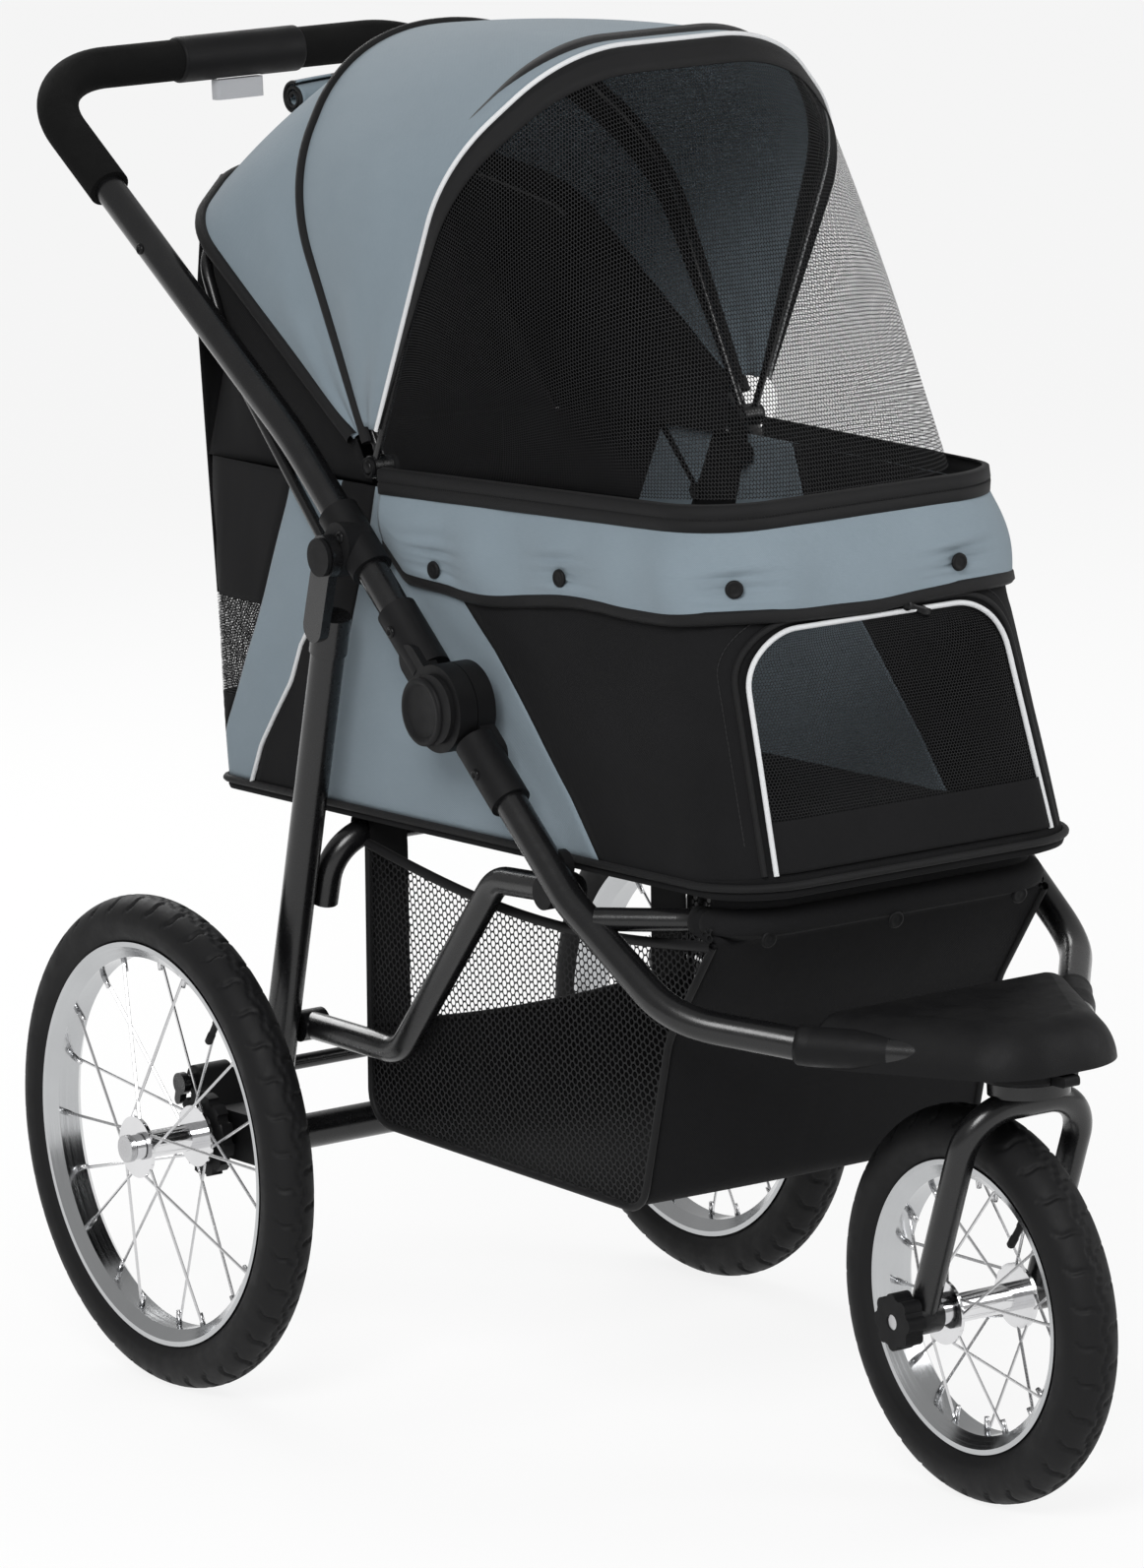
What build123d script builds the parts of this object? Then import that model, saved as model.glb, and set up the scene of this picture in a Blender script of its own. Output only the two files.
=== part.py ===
"""Three-wheel stroller for a pet: a folding tube frame, spoked wheels, a soft cabin with a
folding canopy, and a net basket.

Millimetres. X runs across, -Y is the front and +Z is up. Side points are (y, z) pairs, with the
rear axle at y = 0 and the ground at z = 0. Every piece is moved back by centre_shift at export,
so that the origin lies on the ground under the middle of the stroller.
"""

import os
from math import atan2, cos, degrees, hypot, pi, radians, sin, sqrt, tan

from build123d import *

# Wheels
rear_wheel_radius = 200
rear_tyre_section = 21
rear_track = 527
front_wheel_radius = 152
front_tyre_section = 23
wheelbase = 725
bead_depth = 6
rim_depth = 13
rim_lip = 2
spoke_count = 20
spoke_radius = 1.2
spoke_cross_angle = 34
spoke_seat = 2
axle_radius = 6
running_clearance = 0.05
hub_barrel_radius = 11
hub_flange_radius = 25
hub_flange_thickness = 3
rear_hub_flange_gap = 58
rear_hub_length = 66
front_hub_flange_gap = 72
front_hub_length = 84
brake_ring_radius = 34
brake_ring_thickness = 10
brake_notch_count = 12
brake_notch_radius = 4

# Frame tubes, drawn in one plane on each side
tube_radius = 12.5
tube_wall = 1.6
tube_x = 201
fold_hub_point = (-352, 588)
upper_bend_point = (-145, 774)
handle_bar_point = (235, 1037)
upper_bend_radius = 400
handle_bend_radius = 75
handle_joint_run = 245
grip_start_run = 315
grip_radius = 17
grip_clearance = 0.1
housing_length = 118
housing_radius = 19
trigger_width = 46
trigger_depth = 12
trigger_drop = 17
trigger_travel = 6
trigger_clearance = 0.5
lower_bend_point = (-500, 456)
lower_knee = (190, 182, 381)
lower_fender_entry = (122, 102, 363)
lower_fender_end = (72, 28, 360)
lower_bend_radius = 90

# Fold hubs
hub_disc_radius = 34
hub_half_thickness = 16
hub_half_gap = 0.8
hub_pin_radius = 8
hub_cap_radius = 27
hub_cap_height = 4
socket_radius = 16
socket_start = 37
socket_end = 98

# Rear legs, their pivots and the axle holders
leg_pivot_point = (-216, 692)
leg_foot_point = (-50, 200)
leg_top_x = 210
leg_radius = 13.5
leg_collar_radius = 15
leg_collar_start = 52
leg_collar_end = 84
leg_bracket_radius = 16.5
leg_bracket_half_length = 30
pivot_disc_radius = 17
pivot_pin_radius = 5
pivot_gap = 0.5
leg_eye_thickness = 8
pivot_cap_thickness = 3.5
holder_thickness = 30
holder_ring_gap = 7.5
holder_radius = 20
holder_boss_radius = 17
axle_bar_radius = 14
brake_bar_point = (34, 236)
brake_bar_radius = 6
brake_lug_radius = 13
brake_pawl_thickness = 6
brake_pawl_length = 18
brake_pawl_rest_angle = 60
brake_pedal_width = 70
brake_pedal_length = 58
brake_pedal_thickness = 8
strut_radius = 11
strut_foot_z = 400
strut_top_z = 456
strut_bend_radius = 38
weld_gap = 0.4
weld_boss_radius = 6

# Links between the lower tubes and the legs
link_radius = 11
link_front_point = (-452, 455)
link_upper_bend = (-362, 451)
link_lower_bend = (-215, 293)
link_rear_point = (-84, 295)
link_bend_radius = 36
link_eye_radius = 12.5
link_leg_gap = 1
bracket_thickness = 8
bracket_boss_radius = 6

# Front fork, swivel and fender
trail = 69
fork_half_width = 54
fork_radius = 11
fork_crown_z = 318
fork_bend_radius = 38
swivel_stem_radius = 14
swivel_plate_radius = 31
swivel_plate_thickness = 10
housing_gap = 1
swivel_housing_radius = 37
swivel_housing_height = 30
lock_lever_width = 14
lock_lever_length = 26
lock_lever_height = 8
knob_radius = 22
knob_lobes = 8
knob_lobe_radius = 6
knob_thickness = 16
fender_rear_run = 108
fender_nose_run = 51
fender_rear_half_width = 128
fender_nose_half_width = 52
fender_bottom_z = 347
fender_top_z = 385
fender_wall = 4
fender_nose_round = 58
fender_shoulder_inset = 12
fender_top_inset = 26

# Front hoop under the cabin
hoop_radius = 9
hoop_z = 447
hoop_front_y = -640
hoop_half_width = 146
hoop_end_y = -528
hoop_bend_radius = 45

# Cabin
cloth = 2.5
base_z = 470
base_thickness = 8
cabin_rear_y = 38
cabin_half_width = 168
cabin_front_half_width = 164
cabin_front_y = -668
cabin_corner_round = 58
cabin_rear_round = 14
cabin_taper_y = -235
cabin_taper_round = 200
rim_z = 742
rim_rear_half_width = 169
rim_half_width = 177
rim_front_half_width = 136
rim_front_y = -612
rim_height = 13
rim_thickness = 6
rim_end_gap = 3
gusset_front_y = -203
gusset_angle = 32
gusset_top_z = 868
front_seam_y = -545
rear_seam_y = 20
door_half_width = 108
door_sill_z = 490
door_top_z = 652
door_round = 62
door_gap = 1.5
mat_height = 26
mat_inset = 10
rear_wall_top_point = (55, 940)
rear_wall_half_width = 164
strap_width = 30

# Canopy: each arch lies in a plane through the canopy pivots, at an angle above the back
canopy_pivot_point = (-225, 758)
canopy_pin_radius = 4
canopy_eye_radius = 9
canopy_pin_head_radius = 8
canopy_pin_head = 2.5
canopy_clip_x = 162
canopy_clip_thickness = 4
canopy_clip_drop = 30
mid_bow_angle = 64
mid_bow_half_width = 172
mid_bow_shoulder = 232
mid_bow_top_half_width = 80
mid_bow_reach = 347
mid_bow_round = 160
mid_bow_radius = 4
front_bow_angle = 117
front_bow_half_width = 180.5
front_bow_shoulder = 268
front_bow_top_half_width = 95
front_bow_reach = 357
front_bow_round = 120
front_bow_radius = 3
rear_edge_angle = 34.5
rear_edge_half_width = 178
rear_edge_shoulder = 300
rear_edge_top_half_width = 110
rear_edge_reach = 358
rear_edge_round = 70
canopy_cloth = 2
canopy_cloth_gap = 1.6
eye_side = 0.5
canopy_cloth_start = 34
seam_angle = 0.4
net_thickness = 1.5
window_foot_round = 90
rear_hoop_radius = 5
rear_hoop_round = 40
rear_hoop_foot = (180, -150, 690)
rear_hoop_bend = (180, -25, 822)
rear_hoop_shoulder = (176.5, 18, 905)
rear_hoop_top = (104, 44, 942)
rear_hoop_tab_radius = 7

# Basket
basket_link_gap = 7.8
basket_cloth = 2.5
basket_top_rear = (-152, 448)
basket_low_rear = (-138, 222)
basket_front_runs = ((282, 212), (238, 352), (176, 432))
basket_round = 26
net_pitch = 26
net_bar = 5

rear_axle_z = rear_wheel_radius
front_axle_y = -wheelbase
swivel_y = front_axle_y - trail
fender_nose_y = swivel_y - fender_nose_run
fender_rear_y = swivel_y + fender_rear_run
front_reach = min(fender_nose_y, front_axle_y - front_wheel_radius)
rear_reach = handle_bar_point[0] + housing_radius
centre_shift = -(front_reach + rear_reach) / 2
rear_wheel_x = rear_track / 2
ring_inner_x = rear_wheel_x - rear_hub_length / 2 - brake_ring_thickness
leg_foot_x = ring_inner_x - holder_ring_gap - holder_thickness / 2
base_top_z = base_z + base_thickness


def unit(start, end):
    """Unit vector from one side point to another."""
    length = hypot(end[0] - start[0], end[1] - start[1])
    return ((end[0] - start[0]) / length, (end[1] - start[1]) / length)


def along(start, end, run):
    """Side point that lies run millimetres from start towards end."""
    step = unit(start, end)
    return (start[0] + step[0] * run, start[1] + step[1] * run)


def side(x, point):
    """A side point placed at a distance x across."""
    return (x, point[0], point[1])


def bar(points, radius, bend=None, wall=None):
    """A round bar, or a tube where wall is given, along straight runs joined by arcs."""
    path = Line(*points) if bend is None else FilletPolyline(*points, radius=bend)
    section = Circle(radius) if wall is None else Circle(radius) - Circle(radius - wall)
    return sweep(Plane(origin=path @ 0, z_dir=path % 0) * section, path=path)


def cross_pin(x_from, x_to, point, radius):
    """A round pin across the stroller, from x_from to x_to."""
    return extrude(Plane(origin=side(x_from, point), z_dir=(1, 0, 0)) * Circle(radius), x_to - x_from)


def cross_plate(x_from, x_to, start, end, radius):
    """A flat plate with round ends between two side points, thick from x_from to x_to."""
    length = hypot(end[0] - start[0], end[1] - start[1])
    step = unit(start, end)
    middle = ((start[0] + end[0]) / 2, (start[1] + end[1]) / 2)
    plane = Plane(origin=side(x_from, middle), x_dir=(0, step[0], step[1]), z_dir=(1, 0, 0))
    return extrude(plane * SlotCenterToCenter(length, radius * 2), x_to - x_from)


def mirrored(shape):
    """The same piece on the other side."""
    return mirror(shape, about=Plane.YZ)


def both(shape):
    """A piece and its mirror image, as two solids of one node."""
    return Compound(children=[*shape.solids(), *mirrored(shape).solids()])


# Wheels, drawn about the X axis


def bead_radius(wheel_radius, section):
    return wheel_radius - 2 * section + bead_depth


def bead_half_width(section):
    return sqrt(section**2 - (section - bead_depth) ** 2)


def tyre(wheel_radius, section):
    """A round tyre section, cut flat where it sits on the rim."""
    bead = bead_radius(wheel_radius, section)
    profile = Pos(0, wheel_radius - section) * Circle(section)
    profile -= Pos(0, bead / 2) * Rectangle(4 * section, bead)
    return revolve(profile, Axis.X)


def rim(wheel_radius, section):
    """A rim with a flat tyre seat, sloped walls and a narrow spoke bed."""
    seat = bead_radius(wheel_radius, section)
    half = bead_half_width(section) + rim_lip
    bed = seat - rim_depth
    outline = Polyline(
        (-half, seat), (half, seat), (half, seat - rim_lip * 2), (half * 0.55, bed),
        (-half * 0.55, bed), (-half, seat - rim_lip * 2), close=True,
    )
    return revolve(make_face(outline), Axis.X)


def hub(flange_gap, length):
    """A hub barrel between two flanges, bored for its axle."""
    bore = axle_radius + running_clearance
    nose = axle_radius + 4
    flange = flange_gap / 2
    inside = flange - hub_flange_thickness
    half = [
        (0, hub_barrel_radius), (inside, hub_barrel_radius), (inside, hub_flange_radius),
        (flange, hub_flange_radius), (flange, nose), (length / 2, nose), (length / 2, bore),
    ]
    other = [(-x, r) for x, r in reversed(half)]
    return revolve(make_face(Polyline(*half, *other[:-1], close=True)), Axis.X)


def spokes(wheel_radius, section, flange_gap):
    """Crossed spokes from the hub flanges to the rim bed, alternately to each flange."""
    bed = bead_radius(wheel_radius, section) - rim_depth + spoke_seat
    flange_x = (flange_gap - hub_flange_thickness) / 2
    start_radius = hub_flange_radius - spoke_seat
    wires = []
    for i in range(spoke_count):
        sign = 1 if i % 2 else -1
        lean = spoke_cross_angle if i % 4 < 2 else -spoke_cross_angle
        outer = radians(i * 360 / spoke_count)
        inner = outer + radians(lean)
        start = Vector(sign * flange_x, start_radius * cos(inner), start_radius * sin(inner))
        end = Vector(sign * 3, bed * cos(outer), bed * sin(outer))
        plane = Plane(origin=start, z_dir=end - start)
        wires += extrude(plane * RegularPolygon(spoke_radius, 6), (end - start).length).solids()
    return Compound(children=wires)


def brake_ring():
    """A notched ring that the brake pawl drops into."""
    disc = Circle(brake_ring_radius) - Circle(axle_radius + 6)
    disc -= PolarLocations(brake_ring_radius, brake_notch_count) * Circle(brake_notch_radius)
    return extrude(Plane.YZ * disc, brake_ring_thickness)


pieces = {}


def add_wheel(name, place, radius, section, flange_gap, length):
    pieces[name + "_tyre"] = place * tyre(radius, section)
    pieces[name + "_rim"] = place * rim(radius, section)
    pieces[name + "_spokes"] = place * spokes(radius, section, flange_gap)
    pieces[name + "_hub"] = place * hub(flange_gap, length)


for label, sign in (("right", -1), ("left", 1)):
    centre = Pos(sign * rear_wheel_x, 0, rear_axle_z)
    add_wheel(
        "rear_wheel_" + label, centre, rear_wheel_radius, rear_tyre_section, rear_hub_flange_gap,
        rear_hub_length,
    )
    ring = Pos(ring_inner_x, 0, rear_axle_z) * brake_ring()
    pieces["brake_ring_" + label] = ring if sign > 0 else mirrored(ring)
add_wheel(
    "front_wheel", Pos(0, front_axle_y, front_wheel_radius), front_wheel_radius,
    front_tyre_section, front_hub_flange_gap, front_hub_length,
)

# Lower tubes, from the fold hubs to the fender
lower_start = along(fold_hub_point, lower_bend_point, socket_start + 4)
lower_route = [side(tube_x, lower_start), side(tube_x, lower_bend_point)]
lower_route += [(x, swivel_y + run, z) for x, run, z in (lower_knee, lower_fender_entry, lower_fender_end)]
lower_tube = bar(lower_route, tube_radius, lower_bend_radius, tube_wall)
lower_tube_core = bar(lower_route, tube_radius, lower_bend_radius)
pieces["lower_tube_left"] = lower_tube
pieces["lower_tube_right"] = mirrored(lower_tube)

# Upper tubes and handlebar
handle_joint = along(upper_bend_point, handle_bar_point, handle_joint_run)
upper_start = along(fold_hub_point, upper_bend_point, socket_start + 4)
upper_route = [side(tube_x, upper_start), side(tube_x, upper_bend_point), side(tube_x, handle_joint)]
upper_tube = bar(upper_route, tube_radius, upper_bend_radius, tube_wall)
pieces["upper_tubes"] = both(upper_tube)
handle_corner = side(tube_x, handle_bar_point)
handle_route = [side(tube_x, handle_joint), handle_corner, side(-tube_x, handle_bar_point),
                side(-tube_x, handle_joint)]
pieces["handlebar"] = bar(handle_route, tube_radius, handle_bend_radius, tube_wall)
grip_start = along(upper_bend_point, handle_bar_point, grip_start_run)
grip_route = [side(tube_x, grip_start), handle_corner, side(housing_length / 2, handle_bar_point)]
grip_path = FilletPolyline(*grip_route, radius=handle_bend_radius)
grip_section = Circle(grip_radius) - Circle(tube_radius + grip_clearance)
grip = sweep(Plane(origin=grip_path @ 0, z_dir=grip_path % 0) * grip_section, path=grip_path)
pieces["grips"] = both(grip)

# Handle housing with the fold trigger under it
housing = cross_pin(-housing_length / 2, housing_length / 2, handle_bar_point, housing_radius)
housing = fillet(housing.edges(), 3)
housing -= cross_pin(-housing_length, housing_length, handle_bar_point, tube_radius + grip_clearance)
trigger_top = handle_bar_point[1] - tube_radius - grip_clearance - trigger_travel - 1
trigger_height = trigger_top - (handle_bar_point[1] - housing_radius - trigger_drop)
pocket = Box(
    trigger_width + 2 * trigger_clearance, trigger_depth + 2 * trigger_clearance, 3 * housing_radius,
    align=(Align.CENTER, Align.CENTER, Align.MAX),
)
pieces["handle_housing"] = housing - Pos(*side(0, handle_bar_point)) * pocket
lever = Box(trigger_width, trigger_depth, trigger_height, align=(Align.CENTER, Align.CENTER, Align.MAX))
lever = fillet(lever.edges().filter_by(Axis.Z), 4)
pieces["fold_trigger"] = Pos(0, handle_bar_point[0], trigger_top) * lever


# Fold hubs: the upper half carries the cap, the lower half carries the pin
def hub_half(x_from, x_to, towards):
    """Half of a fold hub: a disc and a tongue in its own layer, and a full tube socket."""
    half = cross_pin(x_from, x_to, fold_hub_point, hub_disc_radius)
    tongue_end = along(fold_hub_point, towards, socket_start + 12)
    half += cross_plate(x_from + 1, x_to - 1, fold_hub_point, tongue_end, socket_radius * 0.8)
    socket = bar(
        [side(tube_x, along(fold_hub_point, towards, run)) for run in (socket_start, socket_end)],
        socket_radius,
    )
    return half + socket


layer = hub_half_gap / 2
upper_half = hub_half(tube_x + layer, tube_x + layer + hub_half_thickness, upper_bend_point)
cap_x = tube_x + layer + hub_half_thickness
upper_half += cross_pin(cap_x, cap_x + hub_cap_height, fold_hub_point, hub_cap_radius)
upper_half -= cross_pin(
    tube_x - hub_half_thickness, cap_x - 3, fold_hub_point, hub_pin_radius + running_clearance
)
upper_half -= bar([upper_route[0], side(tube_x, upper_bend_point)], tube_radius)
lower_half = hub_half(tube_x - layer - hub_half_thickness, tube_x - layer, lower_bend_point)
lower_half += cross_pin(tube_x - layer - 1, cap_x - 4, fold_hub_point, hub_pin_radius)
lower_half -= bar([lower_route[0], side(tube_x, lower_bend_point)], tube_radius)
pieces["fold_hub_upper_halves"] = both(upper_half)
pieces["fold_hub_lower_halves"] = both(lower_half)

# Leg brackets, clamped round the upper tubes, with the pin that the legs turn on
tube_step = unit(fold_hub_point, upper_bend_point)
pivot_run = (leg_pivot_point[0] - fold_hub_point[0]) * tube_step[0]
pivot_run += (leg_pivot_point[1] - fold_hub_point[1]) * tube_step[1]
bracket_ends = [
    side(tube_x, along(fold_hub_point, upper_bend_point, pivot_run + end))
    for end in (-leg_bracket_half_length, leg_bracket_half_length)
]
bracket_face_x = tube_x + leg_bracket_radius + eye_side
eye_from = bracket_face_x + pivot_gap
eye_to = eye_from + leg_eye_thickness
tube_foot = along(fold_hub_point, upper_bend_point, pivot_run)
leg_bracket = bar(bracket_ends, leg_bracket_radius)
leg_bracket += cross_plate(tube_x - 6, bracket_face_x, tube_foot, leg_pivot_point, pivot_disc_radius)
leg_bracket += cross_pin(bracket_face_x - 4, eye_to + pivot_gap, leg_pivot_point, pivot_pin_radius)
leg_bracket += cross_pin(
    eye_to + pivot_gap, eye_to + pivot_gap + pivot_cap_thickness, leg_pivot_point, pivot_disc_radius - 2
)
leg_bracket -= bar(upper_route, tube_radius, upper_bend_radius)
pieces["leg_brackets"] = both(leg_bracket)

# Rear legs
leg_top = Vector(*side(leg_top_x, leg_pivot_point))
leg_foot = Vector(*side(leg_foot_x, leg_foot_point))
leg_axis = (leg_foot - leg_top).normalized()
leg_tongue_end = along(leg_pivot_point, leg_foot_point, leg_collar_start + 8)
leg = bar([leg_top + leg_axis * leg_collar_start, leg_foot], leg_radius, wall=tube_wall)
leg_core = bar([leg_top + leg_axis * leg_collar_start, leg_foot], leg_radius)
collar = bar([leg_top + leg_axis * run for run in (leg_collar_start, leg_collar_end)], leg_collar_radius)
leg_head = cross_pin(eye_from, eye_to, leg_pivot_point, pivot_disc_radius)
leg_head += cross_plate(eye_from, eye_to, leg_pivot_point, leg_tongue_end, leg_radius - 1)
leg_head += collar
leg_head -= cross_pin(eye_from - 1, eye_to + 1, leg_pivot_point, pivot_pin_radius + running_clearance)
leg += leg_head
pieces["rear_leg_left"] = leg
pieces["rear_leg_right"] = mirrored(leg)

# Axle holders, moulded round the foot of each leg, with the stub axles and the axle bar
axle_point = (0, rear_axle_z)
holder_from = leg_foot_x - holder_thickness / 2
holder_to = leg_foot_x + holder_thickness / 2
holder = cross_plate(holder_from, holder_to, leg_foot_point, axle_point, holder_radius)
holder += cross_plate(holder_from, holder_to, axle_point, brake_bar_point, brake_lug_radius)
boss_end = ring_inner_x - 1
holder += cross_pin(holder_to - 2, boss_end, axle_point, holder_boss_radius)
holder += bar([leg_foot - leg_axis * (holder_radius + 26), leg_foot], leg_radius + 3)
holder -= leg_core
holder -= cross_pin(holder_from - 1, holder_to + 1, brake_bar_point, brake_bar_radius + running_clearance)
stub_end = rear_wheel_x + rear_hub_length / 2 + 1
stub = cross_pin(holder_from + 4, stub_end, axle_point, axle_radius)
stub += cross_pin(stub_end, stub_end + 5, axle_point, axle_radius + 5)
pieces["axle_holders"] = both(holder - stub)
pieces["stub_axles"] = both(stub)
axle_bar_half = holder_from - weld_gap
axle_bar = cross_pin(-axle_bar_half, axle_bar_half, leg_foot_point, axle_bar_radius)
axle_bar -= cross_pin(-axle_bar_half, axle_bar_half, leg_foot_point, axle_bar_radius - tube_wall)
pieces["axle_bar"] = axle_bar

# Brake bar with a pedal and a pawl beside each notched ring
pawl_x = ring_inner_x + brake_ring_thickness / 2
pawl_turn = atan2(axle_point[1] - brake_bar_point[1], axle_point[0] - brake_bar_point[0])
pawl_turn += radians(brake_pawl_rest_angle)
pawl_tip_radius = 4
pawl_reach = brake_pawl_length - pawl_tip_radius
pawl_tip = (brake_bar_point[0] + pawl_reach * cos(pawl_turn), brake_bar_point[1] + pawl_reach * sin(pawl_turn))
pawl = cross_plate(
    pawl_x - brake_pawl_thickness / 2, pawl_x + brake_pawl_thickness / 2, brake_bar_point, pawl_tip, pawl_tip_radius
)
pawl += cross_pin(pawl_x - brake_pawl_thickness / 2, pawl_x + brake_pawl_thickness / 2, brake_bar_point, 9)
brake = cross_pin(-pawl_x, pawl_x, brake_bar_point, brake_bar_radius) + pawl + mirrored(pawl)
pedal = Pos(0, brake_bar_point[0], brake_bar_point[1]) * Box(
    brake_pedal_width, brake_pedal_length, brake_pedal_thickness,
    align=(Align.CENTER, Align.MIN, Align.CENTER),
)
pedal = fillet(pedal.edges().filter_by(Axis.Z), 8)
pedal += cross_pin(-brake_pedal_width / 2, brake_pedal_width / 2, brake_bar_point, brake_bar_radius + 3)
pieces["brake_bar"] = brake + pedal

# Cross strut between the legs, under the back of the cabin
def leg_at(z):
    """Centre of the left leg at a height."""
    share = (leg_top.Z - z) / (leg_top.Z - leg_foot.Z)
    return leg_top + (leg_foot - leg_top) * share


strut_x = leg_at(strut_top_z).X - leg_radius - strut_radius - weld_gap - 2
strut_foot = (strut_x, leg_at(strut_foot_z).Y, strut_foot_z)
strut_corner = (strut_x, leg_at(strut_top_z).Y, strut_top_z)
strut_route = [strut_foot, strut_corner] + [(-x, y, z) for x, y, z in (strut_corner, strut_foot)]
strut = bar(strut_route, strut_radius, strut_bend_radius, tube_wall)
weld = cross_pin(strut_x, strut_x + strut_radius + leg_radius, strut_foot[1:], weld_boss_radius)
weld = Pos(0, 0, strut_radius) * weld - leg_core
strut += weld + mirrored(weld)
pieces["rear_strut"] = strut

# Links from the lower tubes to the legs, and their brackets
link_x = leg_at(link_rear_point[1]).X - leg_radius - link_leg_gap - link_radius
link_route = [side(link_x, p) for p in (link_front_point, link_upper_bend, link_lower_bend, link_rear_point)]
link = bar(link_route, link_radius, link_bend_radius)
eye_half = link_radius + eye_side
for end in (link_front_point, link_rear_point):
    link += cross_pin(link_x - eye_half, link_x + eye_half, end, link_eye_radius)
link -= bar(link_route, link_radius - tube_wall, link_bend_radius)
link -= cross_pin(
    link_x - 2 * link_radius, link_x + 2 * link_radius, link_front_point, pivot_pin_radius + running_clearance
)
pieces["link_left"] = link
pieces["link_right"] = mirrored(link)
lower_step = unit(fold_hub_point, lower_bend_point)
bracket_run = (link_front_point[0] - fold_hub_point[0]) * lower_step[0]
bracket_run += (link_front_point[1] - fold_hub_point[1]) * lower_step[1]
bracket_root = along(fold_hub_point, lower_bend_point, bracket_run)
plate_from = link_x + eye_half + pivot_gap
link_bracket = cross_plate(plate_from, plate_from + bracket_thickness, bracket_root, link_front_point, link_eye_radius)
link_bracket += cross_pin(*sorted((plate_from, tube_x)), bracket_root, bracket_boss_radius)
link_bracket += cross_pin(link_x - eye_half - 1, plate_from + 1, link_front_point, pivot_pin_radius)
link_bracket += cross_pin(
    link_x - eye_half - 4, link_x - eye_half - pivot_gap, link_front_point, link_eye_radius - 3
)
pieces["link_brackets"] = both(link_bracket - lower_tube_core)

# Fender over the swivel, with the lower tubes entering its back corners
def fender_outline(inset, z):
    """Plan of the fender: a wide back edge that narrows to a round nose."""
    wide = fender_rear_half_width - inset
    narrow = fender_nose_half_width - inset
    back = fender_rear_y - min(inset, fender_wall)
    nose = fender_nose_y + inset
    corners = [(-wide, back), (wide, back), (narrow, nose), (-narrow, nose)]
    rounds = [3, 3, fender_nose_round - inset, fender_nose_round - inset]
    return Pos(0, 0, z) * make_face(FilletPolyline(*corners, radius=rounds, close=True))



def fender_shell(inset, bottom, top):
    """A hood with upright foot, round shoulders and a nearly flat crown."""
    rise = top - bottom
    return loft([
        fender_outline(inset, bottom), fender_outline(inset + 3, bottom + rise * 0.4),
        fender_outline(inset + fender_shoulder_inset, bottom + rise * 0.8), fender_outline(inset + fender_top_inset, top),
    ])


shell_outside = fender_shell(0, fender_bottom_z, fender_top_z)
shell_inside = fender_shell(fender_wall, fender_bottom_z - 1, fender_top_z - fender_wall)
fender = shell_outside - shell_inside - lower_tube_core - mirrored(lower_tube_core)
pieces["fender"] = fender.solids().sort_by(SortBy.VOLUME)[-1]

# Swivel housing under the fender and the fork that turns in it
plate_bottom = fork_crown_z + fork_radius - 4
plate_top = plate_bottom + swivel_plate_thickness
housing_bottom = plate_top + housing_gap
swivel_at = Pos(0, swivel_y, 0)
post = Pos(0, 0, housing_bottom) * extrude(Circle(swivel_housing_radius), swivel_housing_height)
post = fillet(post.edges(), 3)
post += Pos(0, 0, housing_bottom + swivel_housing_height) * Cylinder(
    swivel_stem_radius + 8, fender_top_z - fender_wall - housing_bottom - swivel_housing_height - weld_gap,
    align=(Align.CENTER, Align.CENTER, Align.MIN),
)
bore_depth = swivel_housing_height + 6
post -= Pos(0, 0, housing_bottom - 1) * Cylinder(
    swivel_stem_radius + running_clearance, bore_depth + 1, align=(Align.CENTER, Align.CENTER, Align.MIN)
)
lock_seat = Box(
    lock_lever_width + 1, swivel_housing_radius, swivel_housing_height / 2 + 1,
    align=(Align.CENTER, Align.MAX, Align.MIN),
)
lock_seat = Pos(0, -swivel_housing_radius * 0.72, housing_bottom - 0.5) * lock_seat
pieces["swivel_housing"] = swivel_at * (post - lock_seat)
lock = Box(
    lock_lever_width, lock_lever_length, lock_lever_height,
    align=(Align.CENTER, Align.MAX, Align.MIN),
)
lock = fillet(lock.edges().filter_by(Axis.X), 3)
pieces["swivel_lock"] = swivel_at * Pos(0, -swivel_housing_radius * 0.72 - 0.5, housing_bottom + 1) * lock
fork_foot = (front_axle_y, front_wheel_radius)
fork_top = (swivel_y, fork_crown_z)
fork_route = [side(fork_half_width, fork_foot), side(fork_half_width, fork_top),
              side(-fork_half_width, fork_top), side(-fork_half_width, fork_foot)]
fork = bar(fork_route, fork_radius, fork_bend_radius)
dropout_half = fork_radius + eye_side
dropout = cross_pin(fork_half_width - dropout_half, fork_half_width + dropout_half, fork_foot, fork_radius + 3)
fork += dropout + mirrored(dropout)
fork -= cross_pin(-2 * fork_half_width, 2 * fork_half_width, fork_foot, axle_radius)
fork += swivel_at * Pos(0, 0, plate_bottom) * Cylinder(
    swivel_plate_radius, swivel_plate_thickness, align=(Align.CENTER, Align.CENTER, Align.MIN)
)
fork += swivel_at * Pos(0, 0, plate_top - 1) * Cylinder(
    swivel_stem_radius, bore_depth, align=(Align.CENTER, Align.CENTER, Align.MIN)
)
pieces["front_fork"] = fork
fork_face = fork_half_width + dropout_half
front_axle = cross_pin(-fork_face - knob_thickness, fork_face, fork_foot, axle_radius)
front_axle += cross_pin(fork_face, fork_face + 9, fork_foot, axle_radius + 5)
pieces["front_axle"] = front_axle
star = Circle(knob_radius - knob_lobe_radius / 2)
star += PolarLocations(knob_radius - knob_lobe_radius, knob_lobes) * Circle(knob_lobe_radius)
star -= Circle(axle_radius + running_clearance)
knob = extrude(Plane(origin=side(-fork_face - 1, fork_foot), z_dir=(-1, 0, 0)) * star, knob_thickness)
pieces["axle_knob"] = knob

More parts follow.
